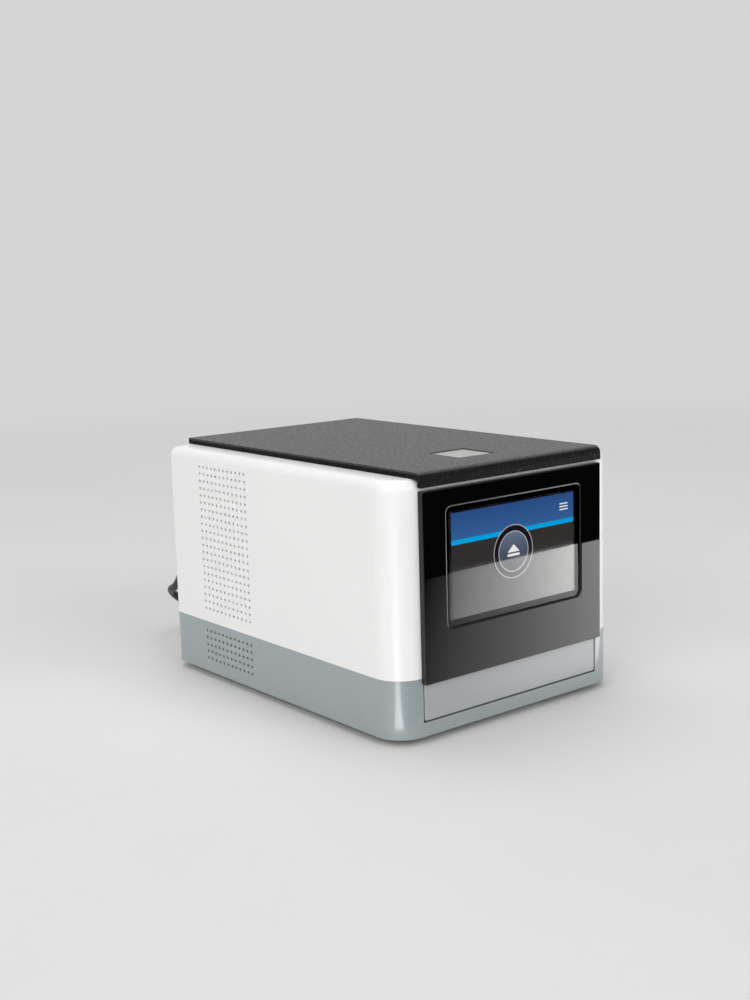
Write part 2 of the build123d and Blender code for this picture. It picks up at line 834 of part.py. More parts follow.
def make_press_bridge():
    """Top plate that ties the posts and carries the press motor."""
    plate = block(-head_width / 2, head_width / 2, press_y - head_length / 2, press_y + head_length / 2,
                  bridge_low, bridge_top)
    plate = fillet(vertical_edges(plate), head_corner_radius)
    return plate - post(0, press_y, bridge_low - 1, bridge_top + 1, 3 * screw_radius)


def make_press_head():
    """Moving plate with holes for bushings and the lift nut."""
    head_top = head_low + head_thickness
    plate = block(-head_width / 2, head_width / 2, press_y - head_length / 2, press_y + head_length / 2,
                  head_low, head_top)
    plate = fillet(vertical_edges(plate), head_corner_radius)
    plate -= post(0, press_y, head_low - 1, head_top + 1, screw_radius + 4)
    for x, y in post_places():
        plate -= post(x, y, head_low - 1, head_top + 1, bushing_radius)
    return plate


def make_press_bushings():
    """Four flanged bushings that run on the posts."""
    head_top = head_low + head_thickness
    bushings = []
    for x, y in post_places():
        body = post(x, y, head_low, head_top + 1, bushing_radius - running_gap)
        body += post(x, y, head_top, head_top + 2.5, bushing_radius + 1.5)
        bushings.append(body - post(x, y, head_low - 1, head_top + 6, post_radius + running_gap))
    return group(bushings)


def make_manifold_block():
    """Block under the press head with one air channel for each well row."""
    low = head_low - block_height
    body = block(-block_width / 2, block_width / 2, press_y - block_length / 2,
                 press_y + block_length / 2, low, head_low)
    body = fillet(vertical_edges(body), 2)
    for x in port_places():
        body -= post(x, press_y, low - 1, low + block_height / 2, port_radius)
        body -= bar_y(x, low + block_height / 2, press_y, press_y + block_length / 2 + 1, port_radius)
    return body


def port_places():
    """Ports spread evenly over the block's width."""
    first = -(port_count - 1) * port_pitch / 2
    return [first + k * port_pitch for k in range(port_count)]


def make_manifold_gasket():
    """Soft seal that meets the chip, pierced below each port."""
    high = head_low - block_height
    half_x = block_width / 2 - seal_inset
    half_y = block_length / 2 - seal_inset
    seal = block(-half_x, half_x, press_y - half_y, press_y + half_y, high - seal_thickness, high)
    for x in port_places():
        seal -= post(x, press_y, high - seal_thickness - 1, high + 1, port_radius)
    return seal


def make_port_fittings():
    """Barbed fittings on the rear of the manifold block."""
    z = head_low - block_height / 2
    y0 = press_y + block_length / 2
    fittings = []
    for x in port_places():
        body = bar_y(x, z, y0, y0 + 3, 3) + bar_y(x, z, y0 + 2, y0 + 8, 1.5)
        fittings.append(body)
    return group(fittings)


def make_lift_nut():
    """Flanged nut on the press head."""
    seat = head_low + head_thickness
    nut = post(0, press_y, seat, seat + 3, 12) + post(0, press_y, seat, seat + 10, 7)
    nut = nut + post(0, press_y, head_low + 0.5, seat + 0.5, screw_radius + 3.7)
    return nut - post(0, press_y, head_low - 1, seat + 12, screw_radius + running_gap)


def make_lift_screw():
    """Lead screw that is the press motor's own spindle, chamfered at its lower end."""
    screw = post(0, press_y, head_low + 2.5, bridge_top + step_motor_height - 6, screw_radius)
    return chamfer(screw.faces().sort_by(Axis.Z)[0].edges(), 0.8)


def make_press_motor():
    """Square stepping motor with cut corners and end caps."""
    low = bridge_top
    half = step_motor_size / 2
    body = block(-half, half, press_y - half, press_y + half, low, low + step_motor_height)
    body = chamfer(vertical_edges(body), 4)
    for z in (low + 9, low + step_motor_height - 9):
        band = block(-half - 1, half + 1, press_y - half - 1, press_y + half + 1, z, z + 0.8)
        core = block(-half + 0.8, half - 0.8, press_y - half + 0.8, press_y + half - 0.8, z - 1, z + 2)
        body -= band - core
    body += post(0, press_y, low - 2, low + 0.5, 11)
    return body - post(0, press_y, low - 3, low + step_motor_height - 5, screw_radius + running_gap)


# Pneumatics

def make_valve_manifold():
    """Bar with an air gallery that carries the valves."""
    half = (port_count * valve_pitch + 7.2) / 2
    bar = block(-half, half, valve_row_y - valve_bar_depth / 2, valve_row_y + valve_bar_depth / 2,
                bridge_top, bridge_top + valve_bar_height)
    return bar - bar_x(valve_row_y, bridge_top + valve_bar_height / 2, -half - 1, half - 22, 2.5)


def make_solenoid_valves():
    """Eight valves in a row, each with its coil and connector."""
    low = bridge_top + valve_bar_height
    y = valve_row_y
    half = valve_width / 2
    valves = []
    for k in range(port_count):
        x = (k - (port_count - 1) / 2) * valve_pitch
        body = block(x - half, x + half, y - half - 1, y + half + 1, low, low + 11)
        coil = block(x - half + 1, x + half - 1, y - half + 0.5, y + half - 0.5, low + 10.5, low + 27)
        plug = block(x - half / 2, x + half / 2, y - half / 2, y + half / 2, low + 26, low + 31)
        valves.append(body + coil + plug)
    return group(valves)


def make_pressure_regulator():
    """Proportional regulator beside the press motor."""
    x = head_width / 2 - regulator_margin
    half = regulator_size / 2
    y0 = press_y - head_length / 2 + 18
    y1 = valve_row_y - valve_bar_depth / 2 - 15
    top = bridge_top + regulator_height
    body = block(x - half, x + half, y0, y1, bridge_top, top)
    body = fillet(vertical_edges(body), 2)
    return body + post(x, (y0 + y1) / 2, top - 1, top + regulator_dome_height, regulator_dome_radius)


def make_air_pump():
    """Diaphragm pump: head, valve cap and motor."""
    x = pump_x
    half = pump_width / 2
    top = deck_top + pump_head_height
    y0 = deck_y0 + 0.09 * deck_length
    y1 = deck_y0 + 0.8 * deck_length
    neck = y0 + 0.45 * (y1 - y0)
    head = block(x - half, x + half, y0, neck, deck_top, top)
    head = fillet(vertical_edges(head), 3)
    cap = post(x, (y0 + neck) / 2, top - 1, top + pump_cap_height, 0.4 * (neck - y0))
    motor = bar_y(x, deck_top + half + 1, neck - 1, y1, half - 2)
    cradle = block(x - half + 5, x + half - 5, neck + 0.25 * (y1 - neck), y1 - 0.25 * (y1 - neck),
                   deck_top, deck_top + 6)
    return head + cap + motor + cradle


def make_air_reservoir():
    """Small pressure vessel with tapered ends and moulded saddles."""
    y0 = deck_y0 + 6
    y1 = deck_y1 - 6
    z = deck_top + tank_radius + 4
    tank = bar_y(tank_x, z, y0, y1, tank_radius)
    tank = chamfer(tank.edges().filter_by(GeomType.CIRCLE), 5)
    tank += bar_y(tank_x, z, y0 - 5, y0 + 1, tank_port_radius)
    for share in (0.2, 0.75):
        y = y0 + share * (y1 - y0)
        tank += block(tank_x - 12, tank_x + 12, y, y + 6, deck_top, z - 9)
    return tank


# Inner frame and electronics

def make_chassis_plate():
    """Steel plate on the base floor that everything inside stands on."""
    plate = block(-half_width + wall + 3, half_width - wall - 3, front_y + 7, rear_face,
                  base_floor, chassis_top)
    for x, y in pillar_places:
        side = 1 if x > 0 else -1
        relief = post(x, y, base_floor - 1, chassis_top + 1, pillar_radius + 0.5)
        relief += block(min(x, side * half_width), max(x, side * half_width), y - 1.5, y + 1.5,
                        base_floor - 1, chassis_top + 1)
        plate -= relief
    corner = housing_block(wall + 0.5, base_floor - 1, chassis_top + 1)
    return plate & corner


def make_deck():
    """Bent shelf over the rear of the tray."""
    half = deck_width / 2
    deck = block(-half, half, deck_y0, deck_y1, deck_low, deck_top)
    for side in (-1, 1):
        inner = side * (half - deck_thickness)
        deck += block(min(inner, side * half), max(inner, side * half), deck_y0, deck_y1, chassis_top, deck_top)
    return deck


def board_places():
    """Standoffs under the main board."""
    return [(x, y) for x in (board_x0 + 4, board_x1 - 4) for y in (deck_y0 + 8, deck_y1 - 8)]


def make_board_standoffs():
    """Hexagonal standoffs of the main board and round ones of the display board."""
    hexagon = RegularPolygon(3, 6)
    pieces = [extrude(Pos(x, y, deck_top) * hexagon, board_rise) for x, y in board_places()]
    pieces += [bar_y(x, z, board_front - board_standoff, board_front, 2.5) for x, z in standoff_places()]
    return group(pieces)


def make_main_board():
    """Controller board with heat sink, terminals, capacitors and chips soldered on."""
    low = deck_top + board_rise
    y0 = deck_y0 + 4
    span = deck_y1 - 4 - y0
    board = block(board_x0, board_x1, y0, y0 + span, low, low + board_thickness)
    top = low + board_thickness
    sunk = top - 0.5
    sink_x = board_x0 + 0.32 * board_width
    sink_width = 0.3 * board_width
    board += block(sink_x, sink_x + sink_width, y0 + 0.35 * span, y0 + 0.65 * span, sunk, top + 3)
    for k in range(6):
        x = sink_x + k * (sink_width - 1.2) / 5
        board += block(x, x + 1.2, y0 + 0.35 * span, y0 + 0.65 * span, top + 2.5, top + 12)
    for k in range(4):
        x = board_x0 + (0.075 + 0.2125 * k) * board_width
        board += block(x, x + 0.15 * board_width, y0 + 0.85 * span, y0 + 0.94 * span, sunk, top + 9)
    for k in range(3):
        board += post(board_x0 + 10, y0 + (0.175 + 0.175 * k) * span, sunk, top + 14, 0.0625 * span)
    x = board_x0 + 0.7 * board_width
    board += block(x, x + 14, y0 + 0.125 * span, y0 + 0.3 * span, sunk, top + 2)
    x = board_x0 + 0.4 * board_width
    return board + block(x, x + 16, y0 + 0.075 * span, y0 + 0.2 * span, sunk, top + 6)


def make_power_supply():
    """Enclosed supply with louvres and an open terminal end."""
    y0 = supply_front
    y1 = y0 + supply_length
    x1 = half_width - wall - supply_side_gap
    x0 = x1 - supply_width
    top = chassis_top + supply_height
    case = block(x0, x1, y0, y1, chassis_top, top)
    for k in range(8):
        x = x0 + 16 + k * (supply_width - 28) / 8
        case -= block(x, x + 4, y0 + 8, y1 - 8, top - 1.5, top + 1)
    case -= block(x0 - 1, x0 + 10, y0 + 4, y1 - 4, chassis_top + 6, top + 1)
    return case


# Rear panel and what it carries

def rear_screw_places():
    """Screws through the shell's rear wall."""
    reach = (rear_opening_width + rear_panel_width) / 4
    return [(x, z) for x in (-reach, reach) for z in (seam_height + 22, rear_opening_high - 14)]


def fan_hole_places():
    """Fan screw pattern."""
    reach = fan_hole_reach
    return [(fan_x + sx * reach, fan_z + sz * reach) for sx in (-1, 1) for sz in (-1, 1)]


def make_rear_panel():
    """Sheet metal panel with cut-outs for inlet, switch, sockets and fan."""
    half = rear_panel_width / 2
    panel = block(-half, half, panel_back, rear_face, chassis_top, rear_panel_high)
    cutters = [
        block(inlet_x - inlet_body_width / 2 - fit_gap, inlet_x + inlet_body_width / 2 + fit_gap, panel_back - 1,
              rear_face + 1, inlet_z - inlet_body_height / 2 - fit_gap, inlet_z + inlet_body_height / 2 + fit_gap),
        block(inlet_x - switch_width / 2 - fit_gap, inlet_x + switch_width / 2 + fit_gap, panel_back - 1,
              rear_face + 1, switch_z - switch_height / 2 - fit_gap, switch_z + switch_height / 2 + fit_gap),
        block(socket_x - 8.3, socket_x + 8.3, panel_back - 1, rear_face + 1, network_z - 6.9, network_z + 6.9),
        block(socket_x - 7.6, socket_x + 7.6, panel_back - 1, rear_face + 1, usb_z - 3.7, usb_z + 3.7),
        bar_y(fan_x, fan_z, panel_back - 1, rear_face + 1, fan_bore_radius - 0.5),
    ]
    for x, z in fan_hole_places() + rear_screw_places() + inlet_screw_places():
        cutters.append(bar_y(x, z, panel_back - 1, rear_face + 1, screw_shank_radius + 0.2))
    return panel - cutters


def make_rear_screws():
    """Sunk screws in the shell's rear wall, and those of the inlet and the fan."""
    screws = []
    for x, z in rear_screw_places():
        shank = bar_y(x, z, panel_back - 1, back_y - 0.9, screw_shank_radius)
        screws.append(shank + bar_y(x, z, back_y - 1.8, back_y - 0.2, screw_head_radius))
    for x, z in inlet_screw_places():
        shank = bar_y(x, z, panel_back - 4, rear_face + 2.6, screw_shank_radius)
        screws.append(shank + bar_y(x, z, rear_face + 2.4, rear_face + 2.9, screw_head_radius - 0.4))
    for x, z in fan_hole_places():
        shank = bar_y(x, z, panel_back - 12, rear_face + 2, screw_shank_radius)
        screws.append(shank + bar_y(x, z, rear_face + 1.6, rear_face + 2.8, screw_head_radius - 0.4))
    return group(screws)


def make_power_inlet():
    """Mains inlet: flange, recess and three blades."""
    half_x = inlet_body_width / 2
    half_z = inlet_body_height / 2
    flange = rounded_face_y(inlet_x, inlet_flange_width, inlet_z - inlet_flange_height / 2,
                            inlet_z + inlet_flange_height / 2, 3, rear_face, rear_face + inlet_flange_thickness)
    body = block(inlet_x - half_x, inlet_x + half_x, rear_face - inlet_body_depth, rear_face + 1,
                 inlet_z - half_z, inlet_z + half_z)
    inlet = flange + body
    recess = block(inlet_x - half_x + inlet_wall, inlet_x + half_x - inlet_wall, rear_face - inlet_recess,
                   rear_face + 5, inlet_z - half_z + inlet_wall, inlet_z + half_z - inlet_wall)
    inlet -= chamfer(recess.edges().filter_by(Axis.Y).group_by(Axis.Z)[-1], 3.5)
    for x, z in inlet_blade_places():
        inlet += block(x - 1, x + 1, rear_face - inlet_recess - 1, rear_face - 2, z - 2, z + 2)
    for x, z in inlet_screw_places():
        inlet -= bar_y(x, z, rear_face - 1, rear_face + 3, screw_shank_radius + 0.2)
    return inlet


def inlet_blade_places():
    """Blades of the inlet: two live ones in line and the earth below."""
    return [(inlet_x - 7, inlet_z + 2), (inlet_x + 7, inlet_z + 2), (inlet_x, inlet_z - 3)]


def inlet_screw_places():
    """Screws above and below the inlet's socket."""
    return [(inlet_x, inlet_z + side * 0.4 * inlet_flange_height) for side in (-1, 1)]


def make_switch_housing():
    """Bezel and body of the power switch."""
    bezel = rounded_face_y(inlet_x, switch_width + 2.5, switch_z - switch_height / 2 - 1.5,
                           switch_z + switch_height / 2 + 1.5, 1.5, rear_face, rear_face + 1.2)
    body = block(inlet_x - switch_width / 2, inlet_x + switch_width / 2, rear_face - 14, rear_face + 0.5,
                 switch_z - switch_height / 2, switch_z + switch_height / 2)
    well = block(inlet_x - 5.3, inlet_x + 5.3, rear_face - 8, rear_face + 3, switch_z - 8.6, switch_z + 8.6)
    housing = bezel + body - well
    for side in (-1, 1):
        x = inlet_x + side * 5.4
        housing += bar_x(rocker_pivot_y, switch_z, min(x, x - side * 1.2), max(x, x - side * 1.2), 1.0)
    return housing


def make_power_rocker():
    """Rocker with a hollowed face, resting in its off position."""
    half = 8.0
    face = 3.0
    line = Polyline((-half, -1.0), (-half, face), (0, face - 1.3), (half, face), (half, -1.0),
                    (0, -3.2), close=True)
    side = Plane((-5.0, 0, 0), x_dir=(0, 0, 1), z_dir=(-1, 0, 0))
    body = extrude(side * make_face(line), -10.0)
    body -= bar_x(0, 0, -5.1, -3.6, 1.0 + running_gap)
    body -= bar_x(0, 0, 3.6, 5.1, 1.0 + running_gap)
    return Pos(inlet_x, rocker_pivot_y, switch_z) * Rot(-rocker_tilt, 0, 0) * body


def make_network_socket():
    """Network socket with its stepped opening."""
    y0 = rear_face - 20
    shell = block(socket_x - 8, socket_x + 8, y0, rear_face + 0.8, network_z - 6.6, network_z + 6.6)
    shell -= block(socket_x - 6, socket_x + 6, rear_face - 13, rear_face + 2, network_z - 3.6, network_z + 4.6)
    return shell - block(socket_x - 3.2, socket_x + 3.2, rear_face - 13, rear_face + 2,
                         network_z - 5.4, network_z - 3)


def make_usb_socket():
    """Service socket with its tongue."""
    y0 = rear_face - 16
    shell = block(socket_x - 7.3, socket_x + 7.3, y0, rear_face + 0.8, usb_z - 3.4, usb_z + 3.4)
    shell -= block(socket_x - 6.5, socket_x + 6.5, rear_face - 12, rear_face + 2, usb_z - 2.6, usb_z + 2.6)
    return shell + block(socket_x - 5.6, socket_x + 5.6, rear_face - 13, rear_face - 1, usb_z + 0.3, usb_z + 2.0)


def make_fan_frame():
    """Square fan frame with a round duct, a stator disc and four struts."""
    y0 = panel_back - fan_depth
    half = fan_size / 2
    frame = block(fan_x - half, fan_x + half, y0, panel_back, fan_z - half, fan_z + half)
    frame = fillet(frame.edges().filter_by(Axis.Y), 4)
    frame -= bar_y(fan_x, fan_z, y0 - 1, panel_back + 1, fan_bore_radius)
    stator = bar_y(fan_x, fan_z, y0, y0 + 2, fan_hub_radius)
    for angle in (45, 135, 225, 315):
        strut = Pos(fan_x, y0 + 1, fan_z) * Rot(0, angle, 0) * Pos(20, 0, 0) * Box(20, 2, 3)
        stator += strut
    frame += stator
    frame -= bar_y(fan_x, fan_z, y0 - 1, y0 + 3, fan_shaft_radius + running_gap)
    for x, z in fan_hole_places():
        frame -= bar_y(x, z, y0 - 1, panel_back + 1, screw_shank_radius + 0.2)
    return frame


def make_fan_rotor():
    """Hub with pitched blades and its shaft."""
    y0 = panel_back - fan_depth
    hub = bar_y(fan_x, fan_z, y0 + 3, panel_back - 1.5, fan_hub_radius - 0.5)
    hub += bar_y(fan_x, fan_z, y0 + 0.3, y0 + 4, fan_shaft_radius)
    reach = fan_bore_radius - 1 - fan_hub_radius + 2
    for k in range(fan_blades):
        blade = Pos(fan_hub_radius - 2 + reach / 2, 0, 0) * Rot(42, 0, 0) * Box(reach, 13, 1.2)
        hub += Pos(fan_x, (y0 + panel_back) / 2 + 0.8, fan_z) * Rot(0, k * 360 / fan_blades, 0) * blade
    return hub


def make_fan_guard():
    """Guard of flat rings tied by a cross, outside the rear panel."""
    y0 = rear_face
    y1 = rear_face + guard_thickness
    diagonal = 2 * 2**0.5 * fan_hole_reach
    guard = Pos(fan_x, (y0 + y1) / 2, fan_z) * Rot(0, 45, 0) * Box(diagonal, guard_thickness, 1.6)
    guard += Pos(fan_x, (y0 + y1) / 2, fan_z) * Rot(0, 135, 0) * Box(diagonal, guard_thickness, 1.6)
    for radius in (fan_bore_radius - 2.5, fan_bore_radius - 10.0, fan_bore_radius - 17.5):
        guard += bar_y(fan_x, fan_z, y0, y1, radius + 0.7) - bar_y(fan_x, fan_z, y0 - 1, y1 + 1, radius - 0.7)
    for x, z in fan_hole_places():
        guard += bar_y(x, z, y0, y1, 3.2)
    for x, z in fan_hole_places():
        guard -= bar_y(x, z, y0 - 1, y1 + 1, screw_shank_radius + 0.2)
    return guard


# Feet and base screws

def make_feet():
    """Four rubber feet."""
    feet = []
    for x, y in foot_places:
        foot = post(x, y, 0, foot_height, foot_radius)
        feet.append(chamfer(foot.faces().sort_by(Axis.Z)[0].edges(), 0.8))
    return group(feet)


def make_housing_screws():
    """Long screws from the base into the shell's pillars."""
    screws = []
    for x, y in pillar_places:
        shank = post(x, y, base_bottom + 2, seam_height + pillar_rise - 3, screw_shank_radius - 0.05)
        screws.append(shank + post(x, y, base_bottom + 2, base_bottom + 5, screw_head_radius))
    return group(screws)


# Mains cord

def make_cord_connector():
    """Moulded connector in the inlet, with a tapered strain relief."""
    y0 = rear_face - inlet_recess + 0.3
    y1 = rear_face + 2.6
    nose = block(inlet_x - 11.9, inlet_x + 11.9, y0, y1 + 1, inlet_z - 7.9, inlet_z + 7.9)
    nose = chamfer(nose.edges().filter_by(Axis.Y).group_by(Axis.Z)[-1], 3.6)
    grip = rounded_face_y(inlet_x, 28, inlet_z - 10, inlet_z + 10, 3, y1, y1 + 20)
    grip = chamfer(grip.faces().sort_by(Axis.Y)[-1].edges(), 2.4)
    neck = y1 + 19
    taper = relief_end - neck
    relief = Pos(inlet_x, neck + taper / 2, inlet_z) * Rot(-90, 0, 0) * Cone(6.4, cord_radius + 0.6, taper)
    connector = nose + grip + relief
    for x, z in inlet_blade_places():
        connector -= block(x - 1.4, x + 1.4, y0 - 1, rear_face - 1.4, z - 2.4, z + 2.4)
    return connector


def cord_lead_points():
    """Route from the connector down behind the housing to the coil."""
    near = coil_y - coil_ring_radius - 2 * cord_radius
    lay = coil_low + cord_radius
    return [
        (inlet_x, relief_end, inlet_z),
        (inlet_x, relief_end + 12.0, inlet_z),
        (inlet_x + 1.0, relief_end + 26.0, inlet_z - 20.0),
        (inlet_x + 3.0, relief_end + 43.5, inlet_z - 26.0),
        (inlet_x + 20.0, relief_end + 51.0, inlet_z - 40.0),
        (inlet_x + 37.0, relief_end + 42.0, inlet_z - 52.0),
        (inlet_x + 46.0, relief_end + 26.0, lay + 1.0),
        (inlet_x + 49.0, relief_end + 9.0, lay),
        (inlet_x + 60.0, near + 11.0, lay),
        (coil_x - 18.0, near + 1.0, lay),
        (coil_x - 9.0, near - 0.6, lay),
    ]


def cord_tail_points():
    """Route from the coil to the plug."""
    near = coil_y - coil_ring_radius - 2 * cord_radius
    lay = coil_high - cord_radius
    return [
        (coil_x + 12.0, near + 0.5, lay),
        (coil_x + 28.0, near - 0.5, lay - 1.0),
        (coil_x + 44.0, near + 4.0, lay - 2.5),
        (coil_x + 60.0, near + 8.0, plug_half_height),
        plug_tail(),
    ]


def plug_tail():
    """Where the cord enters the plug."""
    return (coil_x + 74.0, coil_y - coil_ring_radius + 1.0, plug_half_height)


def bend_radii(points):
    """The largest even bends that the runs of a route allow."""
    radii = []
    for before, corner, after in zip(points, points[1:], points[2:]):
        run_in = Vector(*corner) - Vector(*before)
        run_out = Vector(*after) - Vector(*corner)
        turn = radians(run_in.get_angle(run_out))
        radii.append(0.45 * min(run_in.length, run_out.length) / tan(turn / 2))
    return radii


def cord_tube(points):
    """Round cord along straight runs joined by tangent arcs."""
    radii = bend_radii(points)
    path = FilletPolyline(*points, radius=radii)
    section = Plane(origin=path @ 0, z_dir=path % 0) * Circle(cord_radius)
    tube = sweep(section, path=path)
    print("cord radii", [round(r, 1) for r in radii], "length", round(path.length, 1),
          "volume over section times length", round(tube.volume / (path.length * pi * cord_radius**2), 4))
    return tube


def make_cord_coil():
    """Outer shape of the coiled cord."""
    ring = post(coil_x, coil_y, coil_low, coil_high, coil_outer)
    ring -= post(coil_x, coil_y, coil_low - 1, coil_high + 1, coil_inner)
    return chamfer(ring.edges().filter_by(GeomType.CIRCLE), cord_radius * 0.7)


def make_cord_tie():
    """Flat tie round the coil's rear side."""
    y0 = coil_y + coil_inner - tie_slack
    y1 = coil_y + coil_outer + tie_slack
    half = tie_width / 2
    outer = block(coil_x - half, coil_x + half, y0 - tie_thickness, y1 + tie_thickness,
                  0, coil_high + tie_thickness)
    outer = chamfer(outer.edges().filter_by(Axis.X), 1)
    return outer - block(coil_x - half - 1, coil_x + half + 1, y0, y1, coil_low, coil_high)


def make_mains_plug():
    """Moulded three pin plug lying on the bench."""
    x0, y0, z0 = plug_tail()
    relief = Pos(x0 + 8, y0, z0) * Rot(0, 90, 0) * Cone(cord_radius + 0.6, 6, 16)
    body = extrude(Plane((x0 + 42, y0, z0), x_dir=(0, 1, 0), z_dir=(-1, 0, 0))
                   * RectangleRounded(26, 2 * z0, 6), 28, taper=10)
    plug = relief + body
    for side in (-1, 1):
        y = y0 + side * 6.35
        plug += block(x0 + 41, x0 + 59, y - 0.75, y + 0.75, z0 - 0.2, z0 + 6.2)
    return plug + bar_x(y0, z0 - 6.5, x0 + 41, x0 + 61, 2.4)


nodes = {
    "lower_housing": make_lower_housing,
    "upper_shell": make_upper_shell,
    "top_lid": make_top_lid,
    "lid_inlay": make_lid_inlay,
    "front_panel": make_front_panel,
    "touch_glass": make_touch_glass,
    "display_gasket": make_display_gasket,
    "display_module": make_display_module,
    "display_bracket": make_display_bracket,
    "display_board": make_display_board,
    "panel_screws": make_panel_screws,
    "drawer_front": make_drawer_front,
    "tray_plate": make_tray_plate,
    "chip_nest": make_chip_nest,
    "nest_pins": make_nest_pins,
    "home_sensor": make_home_sensor,
    "guide_rails": make_guide_rails,
    "guide_carriages": make_guide_carriages,
    "drive_rack": make_drive_rack,
    "drive_pinion": make_drive_pinion,
    "drive_motor": make_drive_motor,
    "motor_bracket": make_motor_bracket,
    "guide_posts": make_guide_posts,
    "press_bridge": make_press_bridge,
    "press_head": make_press_head,
    "press_bushings": make_press_bushings,
    "manifold_block": make_manifold_block,
    "manifold_gasket": make_manifold_gasket,
    "port_fittings": make_port_fittings,
    "lift_nut": make_lift_nut,
    "lift_screw": make_lift_screw,
    "press_motor": make_press_motor,
    "valve_manifold": make_valve_manifold,
    "solenoid_valves": make_solenoid_valves,
    "pressure_regulator": make_pressure_regulator,
    "air_pump": make_air_pump,
    "air_reservoir": make_air_reservoir,
    "chassis_plate": make_chassis_plate,
    "equipment_deck": make_deck,
    "board_standoffs": make_board_standoffs,
    "main_board": make_main_board,
    "power_supply": make_power_supply,
    "rear_panel": make_rear_panel,
    "rear_screws": make_rear_screws,
    "power_inlet": make_power_inlet,
    "switch_housing": make_switch_housing,
    "power_rocker": make_power_rocker,
    "network_socket": make_network_socket,
    "usb_socket": make_usb_socket,
    "fan_frame": make_fan_frame,
    "fan_rotor": make_fan_rotor,
    "fan_guard": make_fan_guard,
    "feet": make_feet,
    "housing_screws": make_housing_screws,
    "cord_connector": make_cord_connector,
    "power_cord_lead": lambda: cord_tube(cord_lead_points()),
    "power_cord_coil": make_cord_coil,
    "power_cord_tail": lambda: cord_tube(cord_tail_points()),
    "cord_tie": make_cord_tie,
    "mains_plug": make_mains_plug,
}

os.makedirs("parts", exist_ok=True)
for name, make in nodes.items():
    export_step(make(), f"parts/{name}.step")
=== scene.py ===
import json
import math
import bmesh
import bpy
from mathutils import Matrix, Vector


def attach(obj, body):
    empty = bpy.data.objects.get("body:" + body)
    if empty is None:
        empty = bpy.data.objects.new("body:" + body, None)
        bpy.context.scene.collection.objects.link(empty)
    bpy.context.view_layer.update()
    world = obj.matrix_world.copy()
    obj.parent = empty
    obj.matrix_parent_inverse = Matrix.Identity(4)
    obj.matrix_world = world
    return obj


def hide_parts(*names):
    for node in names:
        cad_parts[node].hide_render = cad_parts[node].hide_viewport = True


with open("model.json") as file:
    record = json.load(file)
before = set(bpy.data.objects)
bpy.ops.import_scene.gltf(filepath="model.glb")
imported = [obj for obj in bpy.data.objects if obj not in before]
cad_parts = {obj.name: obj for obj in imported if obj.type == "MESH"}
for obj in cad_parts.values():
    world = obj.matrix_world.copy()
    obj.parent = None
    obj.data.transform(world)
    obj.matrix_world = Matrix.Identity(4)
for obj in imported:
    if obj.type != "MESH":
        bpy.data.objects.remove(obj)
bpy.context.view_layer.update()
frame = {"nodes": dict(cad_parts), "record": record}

nodes = frame["nodes"]
scene = bpy.context.scene
MM = 0.001


# Camera

view = bpy.data.cameras.new("camera")
view.lens = 49.267
view.sensor_width = 36.0
view.clip_start = 0.01
view.clip_end = 60.0
camera = bpy.data.objects.new("camera", view)
right = Vector((0.77629, -0.62974, -0.02831))
up = Vector((0.12999, 0.11598, 0.98471))
back = Vector((-0.61683, -0.7681, 0.17189))
turn = Matrix((right, up, back)).transposed().to_4x4()
camera.matrix_world = Matrix.Translation(Vector((-598.1, -733.28, 292.38)) * MM) @ turn
scene.collection.objects.link(camera)
scene.camera = camera


# Material helpers

def add_node(tree, kind, **props):
    """A new shader node with some of its properties set."""
    node = tree.nodes.new(kind)
    for key, value in props.items():
        setattr(node, key, value)
    return node


